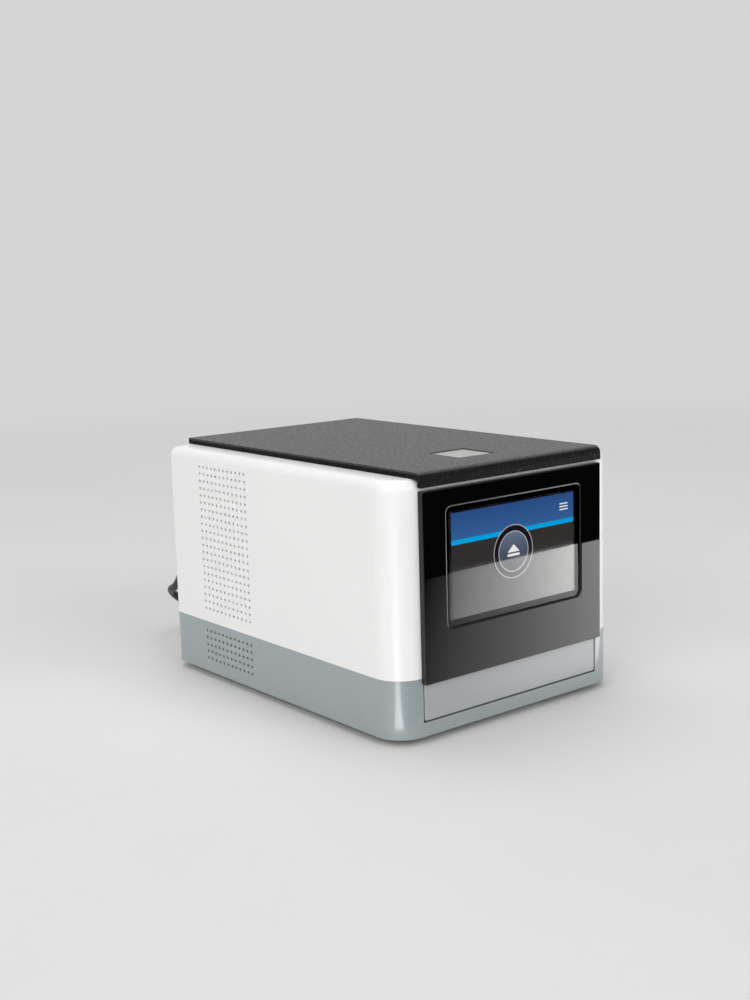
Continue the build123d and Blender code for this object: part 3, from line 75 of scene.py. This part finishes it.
class Paint:
    """A node material built round one Principled shader."""

    def __init__(self, name, color, roughness, metallic=0.0, **sockets):
        self.mat = bpy.data.materials.new(name)
        self.mat.use_nodes = True
        self.tree = self.mat.node_tree
        self.shader = self.tree.nodes["Principled BSDF"]
        self.mat.diffuse_color = (*color, 1.0)
        self.set("Base Color", (*color, 1.0))
        self.set("Roughness", roughness)
        self.set("Metallic", metallic)
        for socket, value in sockets.items():
            self.set(socket.replace("_", " "), value)
        self.coords = self.new("ShaderNodeTexCoord").outputs["Object"]

    def set(self, socket, value):
        self.shader.inputs[socket].default_value = value

    def new(self, kind, **props):
        return add_node(self.tree, kind, **props)

    def link(self, a, b):
        self.tree.links.new(a, b)

    def noise(self, scale, detail=3.0, roughness=0.55, stretch=(1, 1, 1)):
        """Noise whose coordinates are scaled along each axis."""
        mapping = self.new("ShaderNodeMapping")
        mapping.inputs["Scale"].default_value = stretch
        self.link(self.coords, mapping.inputs["Vector"])
        node = self.new("ShaderNodeTexNoise")
        node.inputs["Scale"].default_value = scale
        node.inputs["Detail"].default_value = detail
        node.inputs["Roughness"].default_value = roughness
        self.link(mapping.outputs["Vector"], node.inputs["Vector"])
        return node.outputs["Fac"]

    def cells(self, scale):
        """Distance to the nearest point of a Voronoi pattern."""
        node = self.new("ShaderNodeTexVoronoi")
        node.inputs["Scale"].default_value = scale
        self.link(self.coords, node.inputs["Vector"])
        return node.outputs["Distance"]

    def spread(self, fac, low, high, start=0.3, end=0.7):
        """Maps a value from start..end to low..high."""
        node = self.new("ShaderNodeMapRange")
        limits = {"From Min": start, "From Max": end, "To Min": low, "To Max": high}
        for socket, value in limits.items():
            node.inputs[socket].default_value = value
        self.link(fac, node.inputs["Value"])
        return node.outputs["Result"]

    def math(self, operation, a, b):
        node = self.new("ShaderNodeMath", operation=operation)
        for socket, value in zip(node.inputs, (a, b)):
            if isinstance(value, (int, float)):
                socket.default_value = value
            else:
                self.link(value, socket)
        return node.outputs["Value"]

    def ramp(self, fac, stops):
        node = self.new("ShaderNodeValToRGB")
        elements = node.color_ramp.elements
        while len(elements) < len(stops):
            elements.new(0.5)
        for element, (place, color) in zip(elements, stops):
            element.position = place
            element.color = (*color, 1.0)
        self.link(fac, node.inputs["Fac"])
        return node.outputs["Color"]

    def mix(self, fac, a, b):
        node = self.new("ShaderNodeMix", data_type="RGBA")
        self.link(fac, node.inputs["Factor"])
        for socket, value in ((node.inputs[6], a), (node.inputs[7], b)):
            if isinstance(value, tuple):
                socket.default_value = (*value, 1.0)
            else:
                self.link(value, socket)
        return node.outputs[2]

    def axis(self, letter):
        """One object coordinate, in metres."""
        node = self.new("ShaderNodeSeparateXYZ")
        self.link(self.coords, node.inputs["Vector"])
        return node.outputs[letter]

    def color(self, output):
        self.link(output, self.shader.inputs["Base Color"])

    def rough(self, output):
        self.link(output, self.shader.inputs["Roughness"])

    def glow(self, output):
        self.link(output, self.shader.inputs["Emission Color"])

    def bump(self, height, strength, distance):
        node = self.new("ShaderNodeBump")
        node.inputs["Strength"].default_value = strength
        node.inputs["Distance"].default_value = distance
        self.link(height, node.inputs["Height"])
        self.link(node.outputs["Normal"], self.shader.inputs["Normal"])


def srgb(text):
    """Linear colour of a hexadecimal sRGB one."""
    values = [int(text[i:i + 2], 16) / 255 for i in (0, 2, 4)]
    return tuple(v / 12.92 if v <= 0.04045 else ((v + 0.055) / 1.055) ** 2.4 for v in values)


def shade(color, factor):
    return tuple(min(1.0, c * factor) for c in color)


# Materials

def moulded(name, color, roughness, mottle, strength, grain=1500.0, depth=0.00003, **sockets):
    """Satin moulded plastic with a fine spark eroded grain and faint flow marks."""
    p = Paint(name, color, roughness, **sockets)
    cloud = p.noise(9.0, 4.0)
    flow = p.noise(40.0, 3.0, stretch=(1.0, 1.0, 0.35))
    tone = p.math("ADD", p.math("MULTIPLY", cloud, 0.7), p.math("MULTIPLY", flow, 0.3))
    dark, light = shade(color, 1 - mottle), shade(color, 1 + mottle)
    p.color(p.ramp(tone, [(0.36, dark), (0.5, color), (0.64, light)]))
    p.rough(p.spread(p.noise(120.0, 4.0), roughness - 0.05, roughness + 0.05))
    fine = p.math("ADD", p.noise(grain, 2.0), p.math("MULTIPLY", p.noise(220.0, 2.0), 0.5))
    p.bump(fine, strength, depth)
    return p.mat


def grey_drawer():
    """Satin lacquered drawer front, smoother than the moulded walls."""
    color = srgb("A4A7A9")
    p = Paint("grey_drawer", color, 0.36, Coat_Weight=0.3, Coat_Roughness=0.2)
    p.color(p.ramp(p.noise(7.0, 2.0), [(0.36, shade(color, 0.975)), (0.64, shade(color, 1.025))]))
    p.rough(p.spread(p.noise(1400.0, 2.0), 0.33, 0.39))
    p.bump(p.noise(1500.0, 2.0), 0.08, 0.00002)
    return p.mat


def lid_black():
    """Black plastic with a coarse leather-like erosion texture, painted lighter on top as a
    painted sheen and darker on its rolled rim as painted shade.
    """
    rim_height, top_height = 0.1668, 0.1678
    p = Paint("lid_black", (0.03, 0.03, 0.03), 0.5)
    speck = p.ramp(p.noise(900.0, 2.0, 0.7), [
        (0.38, (0.018, 0.018, 0.0178)), (0.55, (0.034, 0.034, 0.033)),
        (0.72, (0.075, 0.075, 0.072))])
    # Patches where the top turns an even grey, part of the top's painted sheen.
    sheen_patches = p.spread(p.noise(14.0, 5.0), 0.0, 0.35)
    top = p.mix(sheen_patches, speck, (0.042, 0.042, 0.040))
    # The rolled rim's colours, darker as painted shade.
    rim = p.ramp(p.noise(520.0, 3.0, 0.7), [
        (0.46, (0.003, 0.003, 0.003)), (0.62, (0.010, 0.010, 0.010)),
        (0.74, (0.06, 0.06, 0.059))])
    # Above the rim the top takes its lighter colours as a painted sheen, below it the rim's
    # painted shade.
    sheen_top_share = p.spread(p.axis("Z"), 0.0, 1.0, rim_height, top_height)
    p.color(p.mix(sheen_top_share, rim, top))
    p.link(p.spread(sheen_top_share, 0.12, 0.5, 0.0, 1.0), p.shader.inputs["Specular IOR Level"])
    p.rough(p.spread(p.noise(500.0, 3.0), 0.42, 0.62))
    pebbles = p.math("ADD", p.cells(620.0), p.math("MULTIPLY", p.noise(1300.0, 3.0), 0.6))
    p.bump(pebbles, 0.45, 0.00022)
    return p.mat


def inlay_grey():
    """Bead blasted light plate."""
    p = Paint("inlay_grey", srgb("A9A8A4"), 0.42, metallic=0.55)
    cloud = p.noise(45.0, 5.0, stretch=(1, 6, 1))
    p.color(p.ramp(cloud, [(0.3, srgb("9D9C98")), (0.7, srgb("B6B5B1"))]))
    p.rough(p.spread(p.noise(700.0, 2.0), 0.34, 0.5))
    p.bump(p.noise(1700.0, 2.0), 0.25, 0.00004)
    return p.mat


def gloss_black():
    """Piano black panel with faint waviness, dust and hairlines."""
    black = (0.0015, 0.0015, 0.0017)
    p = Paint("gloss_black", black, 0.015, IOR=1.5)
    p.color(p.ramp(p.noise(1600.0, 1.0), [(0.72, black), (0.82, (0.02, 0.02, 0.02))]))
    hair = p.noise(90.0, 6.0, 0.7, stretch=(1.0, 1.0, 14.0))
    p.rough(p.spread(hair, 0.006, 0.028, 0.4, 0.75))
    p.bump(p.noise(16.0, 2.0), 0.08, 0.0003)
    return p.mat


def cover_glass():
    """Clear cover glass with a trace of smear."""
    p = Paint("cover_glass", (1.0, 1.0, 1.0), 0.0, Transmission_Weight=1.0, IOR=1.5)
    p.rough(p.spread(p.noise(28.0, 5.0, 0.65), 0.0, 0.03))
    return p.mat


def plain(name, color, roughness, scale, spread, metallic=0.0, stretch=(1, 1, 1), bump=0.15,
          **sockets):
    """One of the simple finishes: some mottling, uneven gloss and fine bump."""
    p = Paint(name, color, roughness, metallic, **sockets)
    grain = p.noise(scale, 4.0, stretch=stretch)
    p.color(p.ramp(grain, [(0.3, shade(color, 1 - spread)), (0.7, shade(color, 1 + spread))]))
    gloss = p.noise(scale * 0.4, 3.0, stretch=stretch)
    p.rough(p.spread(gloss, max(0.02, roughness - 0.08), roughness + 0.08))
    p.bump(grain, bump, 0.00005)
    return p.mat


simple_metals = {
    "zinc_steel": dict(color=(0.62, 0.62, 0.60), roughness=0.34, scale=120.0, spread=0.14),
    "screw_steel": dict(color=(0.45, 0.45, 0.44), roughness=0.3, scale=600.0, spread=0.2),
    "rail_steel": dict(color=(0.68, 0.68, 0.68), roughness=0.2, scale=80.0, spread=0.1,
                       stretch=(14, 1, 14)),
    "carriage_steel": dict(color=(0.5, 0.5, 0.5), roughness=0.3, scale=200.0, spread=0.12),
    "motor_can": dict(color=(0.7, 0.7, 0.69), roughness=0.26, scale=150.0, spread=0.1,
                      stretch=(1, 1, 8)),
    "mill_aluminium": dict(color=(0.72, 0.72, 0.73), roughness=0.32, scale=70.0, spread=0.1,
                           stretch=(1, 16, 1)),
    "standoff_brass": dict(color=(0.72, 0.5, 0.2), roughness=0.28, scale=400.0, spread=0.15),
    "socket_metal": dict(color=(0.66, 0.65, 0.6), roughness=0.25, scale=200.0, spread=0.1),
    "guard_wire": dict(color=(0.55, 0.56, 0.57), roughness=0.2, scale=300.0, spread=0.1),
    "pinion_brass": dict(color=(0.75, 0.55, 0.24), roughness=0.25, scale=300.0, spread=0.12),
    "bushing_bronze": dict(color=(0.55, 0.35, 0.17), roughness=0.33, scale=500.0, spread=0.2),
    "fitting_steel": dict(color=(0.6, 0.6, 0.6), roughness=0.22, scale=500.0, spread=0.1),
}
simple_others = {
    "foam_black": dict(color=(0.012, 0.012, 0.012), roughness=0.9, scale=900.0, spread=0.5,
                       bump=0.6),
    "display": dict(color=(0.012, 0.012, 0.013), roughness=0.16, scale=200.0, spread=0.2,
                    bump=0.05),
    "board_green": dict(color=(0.012, 0.09, 0.035), roughness=0.4, scale=260.0, spread=0.35,
                        Coat_Weight=0.3),
    "plain_black": dict(color=(0.022, 0.022, 0.023), roughness=0.45, scale=500.0, spread=0.3),
    "motor_black": dict(color=(0.02, 0.02, 0.021), roughness=0.5, scale=400.0, spread=0.3),
    "nest_aluminium": dict(color=(0.3, 0.31, 0.33), roughness=0.36, scale=400.0, spread=0.12,
                           metallic=0.9),
    "valve_black": dict(color=(0.03, 0.03, 0.032), roughness=0.4, scale=500.0, spread=0.2),
    "vessel_white": dict(color=(0.78, 0.78, 0.75), roughness=0.38, scale=90.0, spread=0.06),
    "foot_rubber": dict(color=(0.016, 0.016, 0.016), roughness=0.75, scale=700.0, spread=0.4,
                        bump=0.4),
    "cord_moulding": dict(color=(0.014, 0.014, 0.0145), roughness=0.42, scale=900.0, spread=0.3,
                          bump=0.35),
    "cord_jacket": dict(color=(0.013, 0.013, 0.0135), roughness=0.36, scale=600.0, spread=0.3,
                        bump=0.25),
    "tie_strap": dict(color=(0.02, 0.02, 0.02), roughness=0.8, scale=1500.0, spread=0.5,
                      bump=0.8),
    "rack_plastic": dict(color=(0.75, 0.75, 0.72), roughness=0.35, scale=200.0, spread=0.05),
    "block_clear": dict(color=(0.75, 0.80, 0.82), roughness=0.12, scale=60.0, spread=0.04,
                        bump=0.04, Coat_Weight=0.5),
    "seal_silicone": dict(color=(0.62, 0.6, 0.55), roughness=0.55, scale=300.0, spread=0.06,
                          Subsurface_Weight=0.1),
    "rocker_black": dict(color=(0.012, 0.012, 0.013), roughness=0.24, scale=300.0, spread=0.25,
                         bump=0.08),
    "fan_black": dict(color=(0.018, 0.018, 0.019), roughness=0.42, scale=300.0, spread=0.25),
}
moulded_walls = {
    "white_shell": dict(color=srgb("EDEDEC"), roughness=0.34, mottle=0.012, strength=0.1,
                        Coat_Weight=0.12, Coat_Roughness=0.25),
    "grey_base": dict(color=srgb("939C9F"), roughness=0.4, mottle=0.02, strength=0.08,
                      Coat_Weight=1.0, Coat_Roughness=0.13),
    "rear_paint": dict(color=srgb("3A3D40"), roughness=0.5, mottle=0.1, strength=0.5,
                       grain=900.0, depth=0.0001),
}
mats = {
    "grey_drawer": grey_drawer(),
    "lid_black": lid_black(),
    "inlay_grey": inlay_grey(),
    "gloss_black": gloss_black(),
    "cover_glass": cover_glass(),
}
mats.update({name: moulded(name, **look) for name, look in moulded_walls.items()})
mats.update({name: plain(name, metallic=1.0, **look) for name, look in simple_metals.items()})
mats.update({name: plain(name, **look) for name, look in simple_others.items()})

slot_of = {entry["node"]: entry["material_slot"] for entry in frame["record"]["subparts"]}
for name, obj in nodes.items():
    obj.data.materials.clear()
    obj.data.materials.append(mats.get(slot_of.get(name), mats["plain_black"]))


# Mesh helpers: outlines are (x, z) points in millimetres, seen from the front

def rect(x0, x1, z0, z1):
    return [(x0, z0), (x1, z0), (x1, z1), (x0, z1)]


def rounded(x0, x1, z0, z1, r, steps=3):
    points = []
    corners = ((x1 - r, z0 + r, -90), (x1 - r, z1 - r, 0),
               (x0 + r, z1 - r, 90), (x0 + r, z0 + r, 180))
    for cx, cz, start in corners:
        for k in range(steps + 1):
            a = math.radians(start + 90 * k / steps)
            points.append((cx + r * math.cos(a), cz + r * math.sin(a)))
    return points


def circle(cx, cz, radius, steps=96):
    angles = [2 * math.pi * k / steps for k in range(steps)]
    return [(cx + radius * math.cos(a), cz + radius * math.sin(a)) for a in angles]


def loop(bm, outline, y):
    return [bm.verts.new((x * MM, y * MM, z * MM)) for x, z in outline]


def slab(bm, outline, y0, y1, index):
    """A closed plate between two depths."""
    front, rear = loop(bm, outline, y0), loop(bm, outline, y1)
    faces = [bm.faces.new(front), bm.faces.new(rear[::-1])]
    for a in range(len(outline)):
        b = (a + 1) % len(outline)
        faces.append(bm.faces.new((front[a], front[b], rear[b], rear[a])))
    for face in faces:
        face.material_index = index


def band(bm, outer, inner, y0, y1, index):
    """A closed band between two outlines with equally many points."""
    loops = [loop(bm, outline, y) for outline, y in
             ((outer, y0), (inner, y0), (inner, y1), (outer, y1))]
    for k in range(len(outer)):
        n = (k + 1) % len(outer)
        for a, b in zip(loops, loops[1:] + loops[:1]):
            face = bm.faces.new((a[k], a[n], b[n], b[k]))
            face.material_index = index


def piece(name, bm, materials):
    """An object from a bmesh, riding on the housing."""
    mesh = bpy.data.meshes.new(name)
    bmesh.ops.recalc_face_normals(bm, faces=bm.faces)
    bm.to_mesh(mesh)
    bm.free()
    obj = bpy.data.objects.new(name, mesh)
    scene.collection.objects.link(obj)
    for material in materials:
        mesh.materials.append(material)
    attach(obj, "housing")
    return obj


# Mains cord: one smooth line from the strain relief through the coil to the plug

cord_radius = 3.0
lead = [(-58, 169, 62), (-58, 181, 62), (-57, 195, 42), (-55, 212.5, 36), (-38, 220, 22),
        (-21, 211, 10), (-12, 195, 5), (-9, 178, 4), (2, 161, 4), (24, 151, 4)]
tail = [(70, 149.5, 9.0), (86, 154, 7.5), (102, 157, 12.5), (116, 157, 12.5)]

# Radius and height of each turn. A turn eases over to the next one in its second half.
# The curve runs a little inside its control points, so the coil swells by as much.
coil_x, coil_y = 42.0, 192.0
turns = [(42.0, 4.0), (36.0, 4.0), (30.0, 4.0), (30.0, 10.0), (36.0, 10.0), (42.0, 10.0)]
per_turn = 24
swell = 1.004
move_start, move_share = 0.55, 0.35
coil = []
for k in range(1, len(turns) * per_turn + 1):
    at = k / per_turn
    this = min(len(turns) - 1, int(at))
    after = min(len(turns) - 1, this + 1)
    step = max(0.0, min(1.0, (at - this - move_start) / move_share))
    step = step * step * (3 - 2 * step)
    radius, height = (a + (b - a) * step for a, b in zip(turns[this], turns[after]))
    angle = 2 * math.pi * at - math.pi / 2
    coil.append((coil_x + radius * swell * math.cos(angle),
                 coil_y + radius * swell * math.sin(angle), height))
route = lead + coil + tail

line = bpy.data.curves.new("power_cord", "CURVE")
line.dimensions = "3D"
line.bevel_depth = cord_radius * MM
line.bevel_resolution = 6
line.resolution_u = 8
line.use_fill_caps = True
spline = line.splines.new("NURBS")
spline.points.add(len(route) - 1)
for point, place in zip(spline.points, route):
    point.co = (*(c * MM for c in place), 1.0)
spline.order_u = 3
spline.use_endpoint_u = True
power_cord = bpy.data.objects.new("power_cord", line)
scene.collection.objects.link(power_cord)
line.materials.append(mats["cord_jacket"])
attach(power_cord, "housing")
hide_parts("power_cord_lead", "power_cord_coil", "power_cord_tail")


# Screen picture on the front of the display module, in thin layers

def backlit(name):
    """The dark glossy panel that the picture shines through."""
    return Paint(name, (0.0, 0.0, 0.0), 0.05, Emission_Strength=1.0, Specular_IOR_Level=0.9)


def glowing(name, color):
    """A part of the picture in one colour, with a faint pixel grain."""
    p = backlit(name)
    grain = p.noise(2600.0, 1.0)
    p.glow(p.ramp(grain, [(0.3, shade(color, 0.96)), (0.7, shade(color, 1.04))]))
    return p.mat


def fading(name, z0, z1, bottom, top):
    """A part of the picture that changes colour between two heights in millimetres."""
    p = backlit(name)
    share = p.spread(p.axis("Z"), 0.0, 1.0, z0 * MM, z1 * MM)
    p.glow(p.ramp(share, [(0.0, bottom), (1.0, top)]))
    return p.mat


module_y, face_y = -126.9, -127.2
fronts = [module_y] + [face_y - out for out in (0.04, 0.07, 0.1, 0.13, 0.16)]


def layer(number):
    """Front and rear of a layer, counted outwards from the display module."""
    return fronts[number], fronts[number - 1]


BODY, HEADER, STRIPE, GAP, BUTTON, LINE, SYMBOL = range(7)
screen_left, screen_right, screen_low, screen_high = -53.3, 54.1, 74.7, 140.7
stripe_low, header_low = 120.8, 123.8
middle = centre_x, centre_z = -0.8, 109.4
gap_radius, button_radius = 17.0, 13.0
gap_line, button_line = (17.3, 16.75), (13.2, 12.6)
symbol_left, symbol_right = centre_x - 5.3, centre_x + 5.3
triangle_low, triangle_high = centre_z - 0.4, centre_z + 4.6
bar_low, bar_high = centre_z - 3.0, centre_z - 1.4
menu_left, menu_right, menu_half, menu_corner = 41.2, 48.9, 0.38, 0.3
menu_heights = (134.0, 132.1, 130.2)

picture = bmesh.new()
slab(picture, rect(screen_left, screen_right, screen_low, screen_high), *layer(1), BODY)
slab(picture, rect(screen_left, screen_right, header_low, screen_high), *layer(2), HEADER)
slab(picture, rect(screen_left, screen_right, stripe_low, header_low), *layer(2), STRIPE)
slab(picture, circle(*middle, gap_radius), *layer(3), GAP)
slab(picture, circle(*middle, button_radius), *layer(4), BUTTON)
for (outer, inner), number in ((gap_line, 4), (button_line, 5)):
    band(picture, circle(*middle, outer), circle(*middle, inner), *layer(number), LINE)
triangle = [(symbol_left, triangle_low), (symbol_right, triangle_low), (centre_x, triangle_high)]
slab(picture, triangle, *layer(5), SYMBOL)
slab(picture, rect(symbol_left, symbol_right, bar_low, bar_high), *layer(5), SYMBOL)
for z in menu_heights:
    outline = rounded(menu_left, menu_right, z - menu_half, z + menu_half, menu_corner)
    slab(picture, outline, *layer(3), SYMBOL)
screen = piece("screen_picture", picture, [
    fading("screen_body", 75.3, 121, (0.024, 0.022, 0.022), (0.034, 0.030, 0.029)),
    fading("screen_header", header_low, 141.5, srgb("34609A"), srgb("2A4C84")),
    glowing("screen_stripe", srgb("00A3E0")),
    glowing("screen_ring_gap", (0.008, 0.008, 0.012)),
    fading("screen_button", 97.4, 123.4, (0.012, 0.012, 0.014), (0.14, 0.18, 0.27)),
    glowing("screen_line", (0.42, 0.43, 0.45)),
    glowing("screen_symbol", (0.85, 0.86, 0.88)),
])


# Floor, which fades into the backdrop away from the object

backdrop = (0.66, 0.665, 0.66, 1.0)
floor_half = 12
fade_from, fade_to = 0.35, 2.2

floor_mesh = bpy.data.meshes.new("floor")
floor_corners = [(x, y, 0) for x, y in rect(-floor_half, floor_half, -floor_half, floor_half)]
floor_mesh.from_pydata(floor_corners, [], [(0, 1, 2, 3)])
floor = bpy.data.objects.new("floor", floor_mesh)
scene.collection.objects.link(floor)
tabletop = Paint("floor_paint", (0.74, 0.74, 0.73), 0.9, Specular_IOR_Level=0.0)
tabletop.color(tabletop.ramp(tabletop.noise(3.0, 5.0), [
    (0.3, (0.725, 0.725, 0.715)), (0.7, (0.755, 0.755, 0.745))]))
away = tabletop.new("ShaderNodeVectorMath", operation="LENGTH")
tabletop.link(tabletop.coords, away.inputs[0])
distance = tabletop.new("ShaderNodeMapRange", interpolation_type="SMOOTHSTEP")
distance.inputs["From Min"].default_value = fade_from
distance.inputs["From Max"].default_value = fade_to
tabletop.link(away.outputs["Value"], distance.inputs["Value"])
seen = tabletop.new("ShaderNodeLightPath").outputs["Is Camera Ray"]
paper = tabletop.new("ShaderNodeEmission")
paper.inputs["Color"].default_value = backdrop
blended = tabletop.new("ShaderNodeMixShader")
tabletop.link(tabletop.math("MULTIPLY", seen, distance.outputs["Result"]), blended.inputs["Fac"])
tabletop.link(tabletop.shader.outputs["BSDF"], blended.inputs[1])
tabletop.link(paper.outputs["Emission"], blended.inputs[2])
surface = tabletop.tree.nodes["Material Output"].inputs["Surface"]
tabletop.link(blended.outputs["Shader"], surface)
floor_mesh.materials.append(tabletop.mat)


# Cards just over the floor, in metres

def lit_paint(name, strength):
    """Paint that reflects nothing and shines."""
    return Paint(name, (0.0, 0.0, 0.0), 1.0, Specular_IOR_Level=0.0, Emission_Strength=strength)


def card(name, corners, height, paint):
    """A card that is seen only in reflections and through glass."""
    mesh = bpy.data.meshes.new(name)
    mesh.from_pydata([(x, y, height) for x, y in corners], [], [(0, 1, 2, 3)])
    obj = bpy.data.objects.new(name, mesh)
    scene.collection.objects.link(obj)
    mesh.materials.append(paint.mat)
    obj.visible_camera = False
    obj.visible_diffuse = False
    obj.visible_volume_scatter = False
    obj.visible_shadow = False


# The reflector gives the front panel its bright lower part, which ends at a sharp edge
dark_until, lit_from, edge_slant = -0.4510, -0.4500, 0.03
dim_at, bright_at = -0.25, -0.015
p = lit_paint("reflector_paint", 3.9)
along = p.spread(p.math("ADD", p.axis("X"), p.axis("Y")), 0.0, 1.0, dim_at, bright_at)
near = p.ramp(along, [(0.0, (0.02, 0.021, 0.022)), (0.25, (0.25, 0.25, 0.255)),
                      (0.5, (0.44, 0.44, 0.44)), (1.0, (1.0, 0.995, 0.98))])
slant = p.math("ADD", p.math("MULTIPLY", p.axis("X"), edge_slant), p.axis("Y"))
edge = p.spread(slant, 0.0, 1.0, dark_until, lit_from)
p.glow(p.mix(edge, (0.001, 0.001, 0.001), near))
card("reflector", rect(-3, 6, -5, -0.16), 0.002, p)

# The strip gives the base's front left corner its highlight
p = lit_paint("strip_paint", 6.0)
along = p.spread(p.axis("X"), 0.0, 1.0, -0.95, -0.1)
p.glow(p.ramp(along, [(0.0, (0.25, 0.25, 0.25)), (1.0, (1.0, 1.0, 1.0))]))
card("corner_strip", [(-0.103, -0.146), (-0.86, -0.82), (-0.96, -0.70), (-0.119, -0.128)],
     0.0025, p)


# World: a backdrop for the camera, grey for other rays, and a bright patch low beyond the
# object that only reflections show

ambient = (0.42, 0.425, 0.43, 1.0)
sheen_color = (1.0, 1.0, 0.99, 1.0)
sheen_direction = (0.61, 0.76, 0.2)
sheen_start, sheen_full = 0.5, 0.95

world = bpy.data.worlds.new("world")
scene.world = world
world.use_nodes = True
sky = world.node_tree
path = add_node(sky, "ShaderNodeLightPath")
around = add_node(sky, "ShaderNodeTexCoord")
shown = add_node(sky, "ShaderNodeMix", data_type="RGBA")
shown.inputs[6].default_value = ambient
shown.inputs[7].default_value = backdrop
beyond = add_node(sky, "ShaderNodeVectorMath", operation="DOT_PRODUCT")
beyond.inputs[1].default_value = sheen_direction
sheen = add_node(sky, "ShaderNodeMapRange")
sheen.inputs["From Min"].default_value = sheen_start
sheen.inputs["From Max"].default_value = sheen_full
mirrored = add_node(sky, "ShaderNodeMath", operation="MULTIPLY")
brighter = add_node(sky, "ShaderNodeMix", data_type="RGBA")
brighter.inputs[7].default_value = sheen_color
for output, socket in (
        (path.outputs["Is Camera Ray"], shown.inputs["Factor"]),
        (around.outputs["Generated"], beyond.inputs[0]),
        (beyond.outputs["Value"], sheen.inputs["Value"]),
        (path.outputs["Is Glossy Ray"], mirrored.inputs[0]),
        (sheen.outputs["Result"], mirrored.inputs[1]),
        (mirrored.outputs["Value"], brighter.inputs["Factor"]),
        (shown.outputs[2], brighter.inputs[6]),
        (brighter.outputs[2], sky.nodes["Background"].inputs["Color"])):
    sky.links.new(output, socket)


# Lamps

def lamp(name, place, target, size, power, color=(1, 1, 1)):
    """A soft square lamp aimed at a point."""
    data = bpy.data.lights.new(name, "AREA")
    data.shape = "SQUARE"
    data.size = size
    data.energy = power
    data.color = color
    obj = bpy.data.objects.new(name, data)
    obj.location = place
    obj.rotation_euler = (Vector(target) - Vector(place)).to_track_quat("-Z", "Y").to_euler()
    scene.collection.objects.link(obj)


lamp("key", (-2.6, -0.9, 1.3), (0, 0, 0.08), 2.4, 42.0, (1.0, 0.998, 0.99))
lamp("front", (0.3, -3.0, 1.4), (0, 0, 0.08), 2.0, 30.0, (0.99, 0.995, 1.0))
lamp("top", (0.2, 0.4, 2.6), (0, 0, 0.1), 2.2, 26.0)

scene.view_settings.view_transform = "Standard"

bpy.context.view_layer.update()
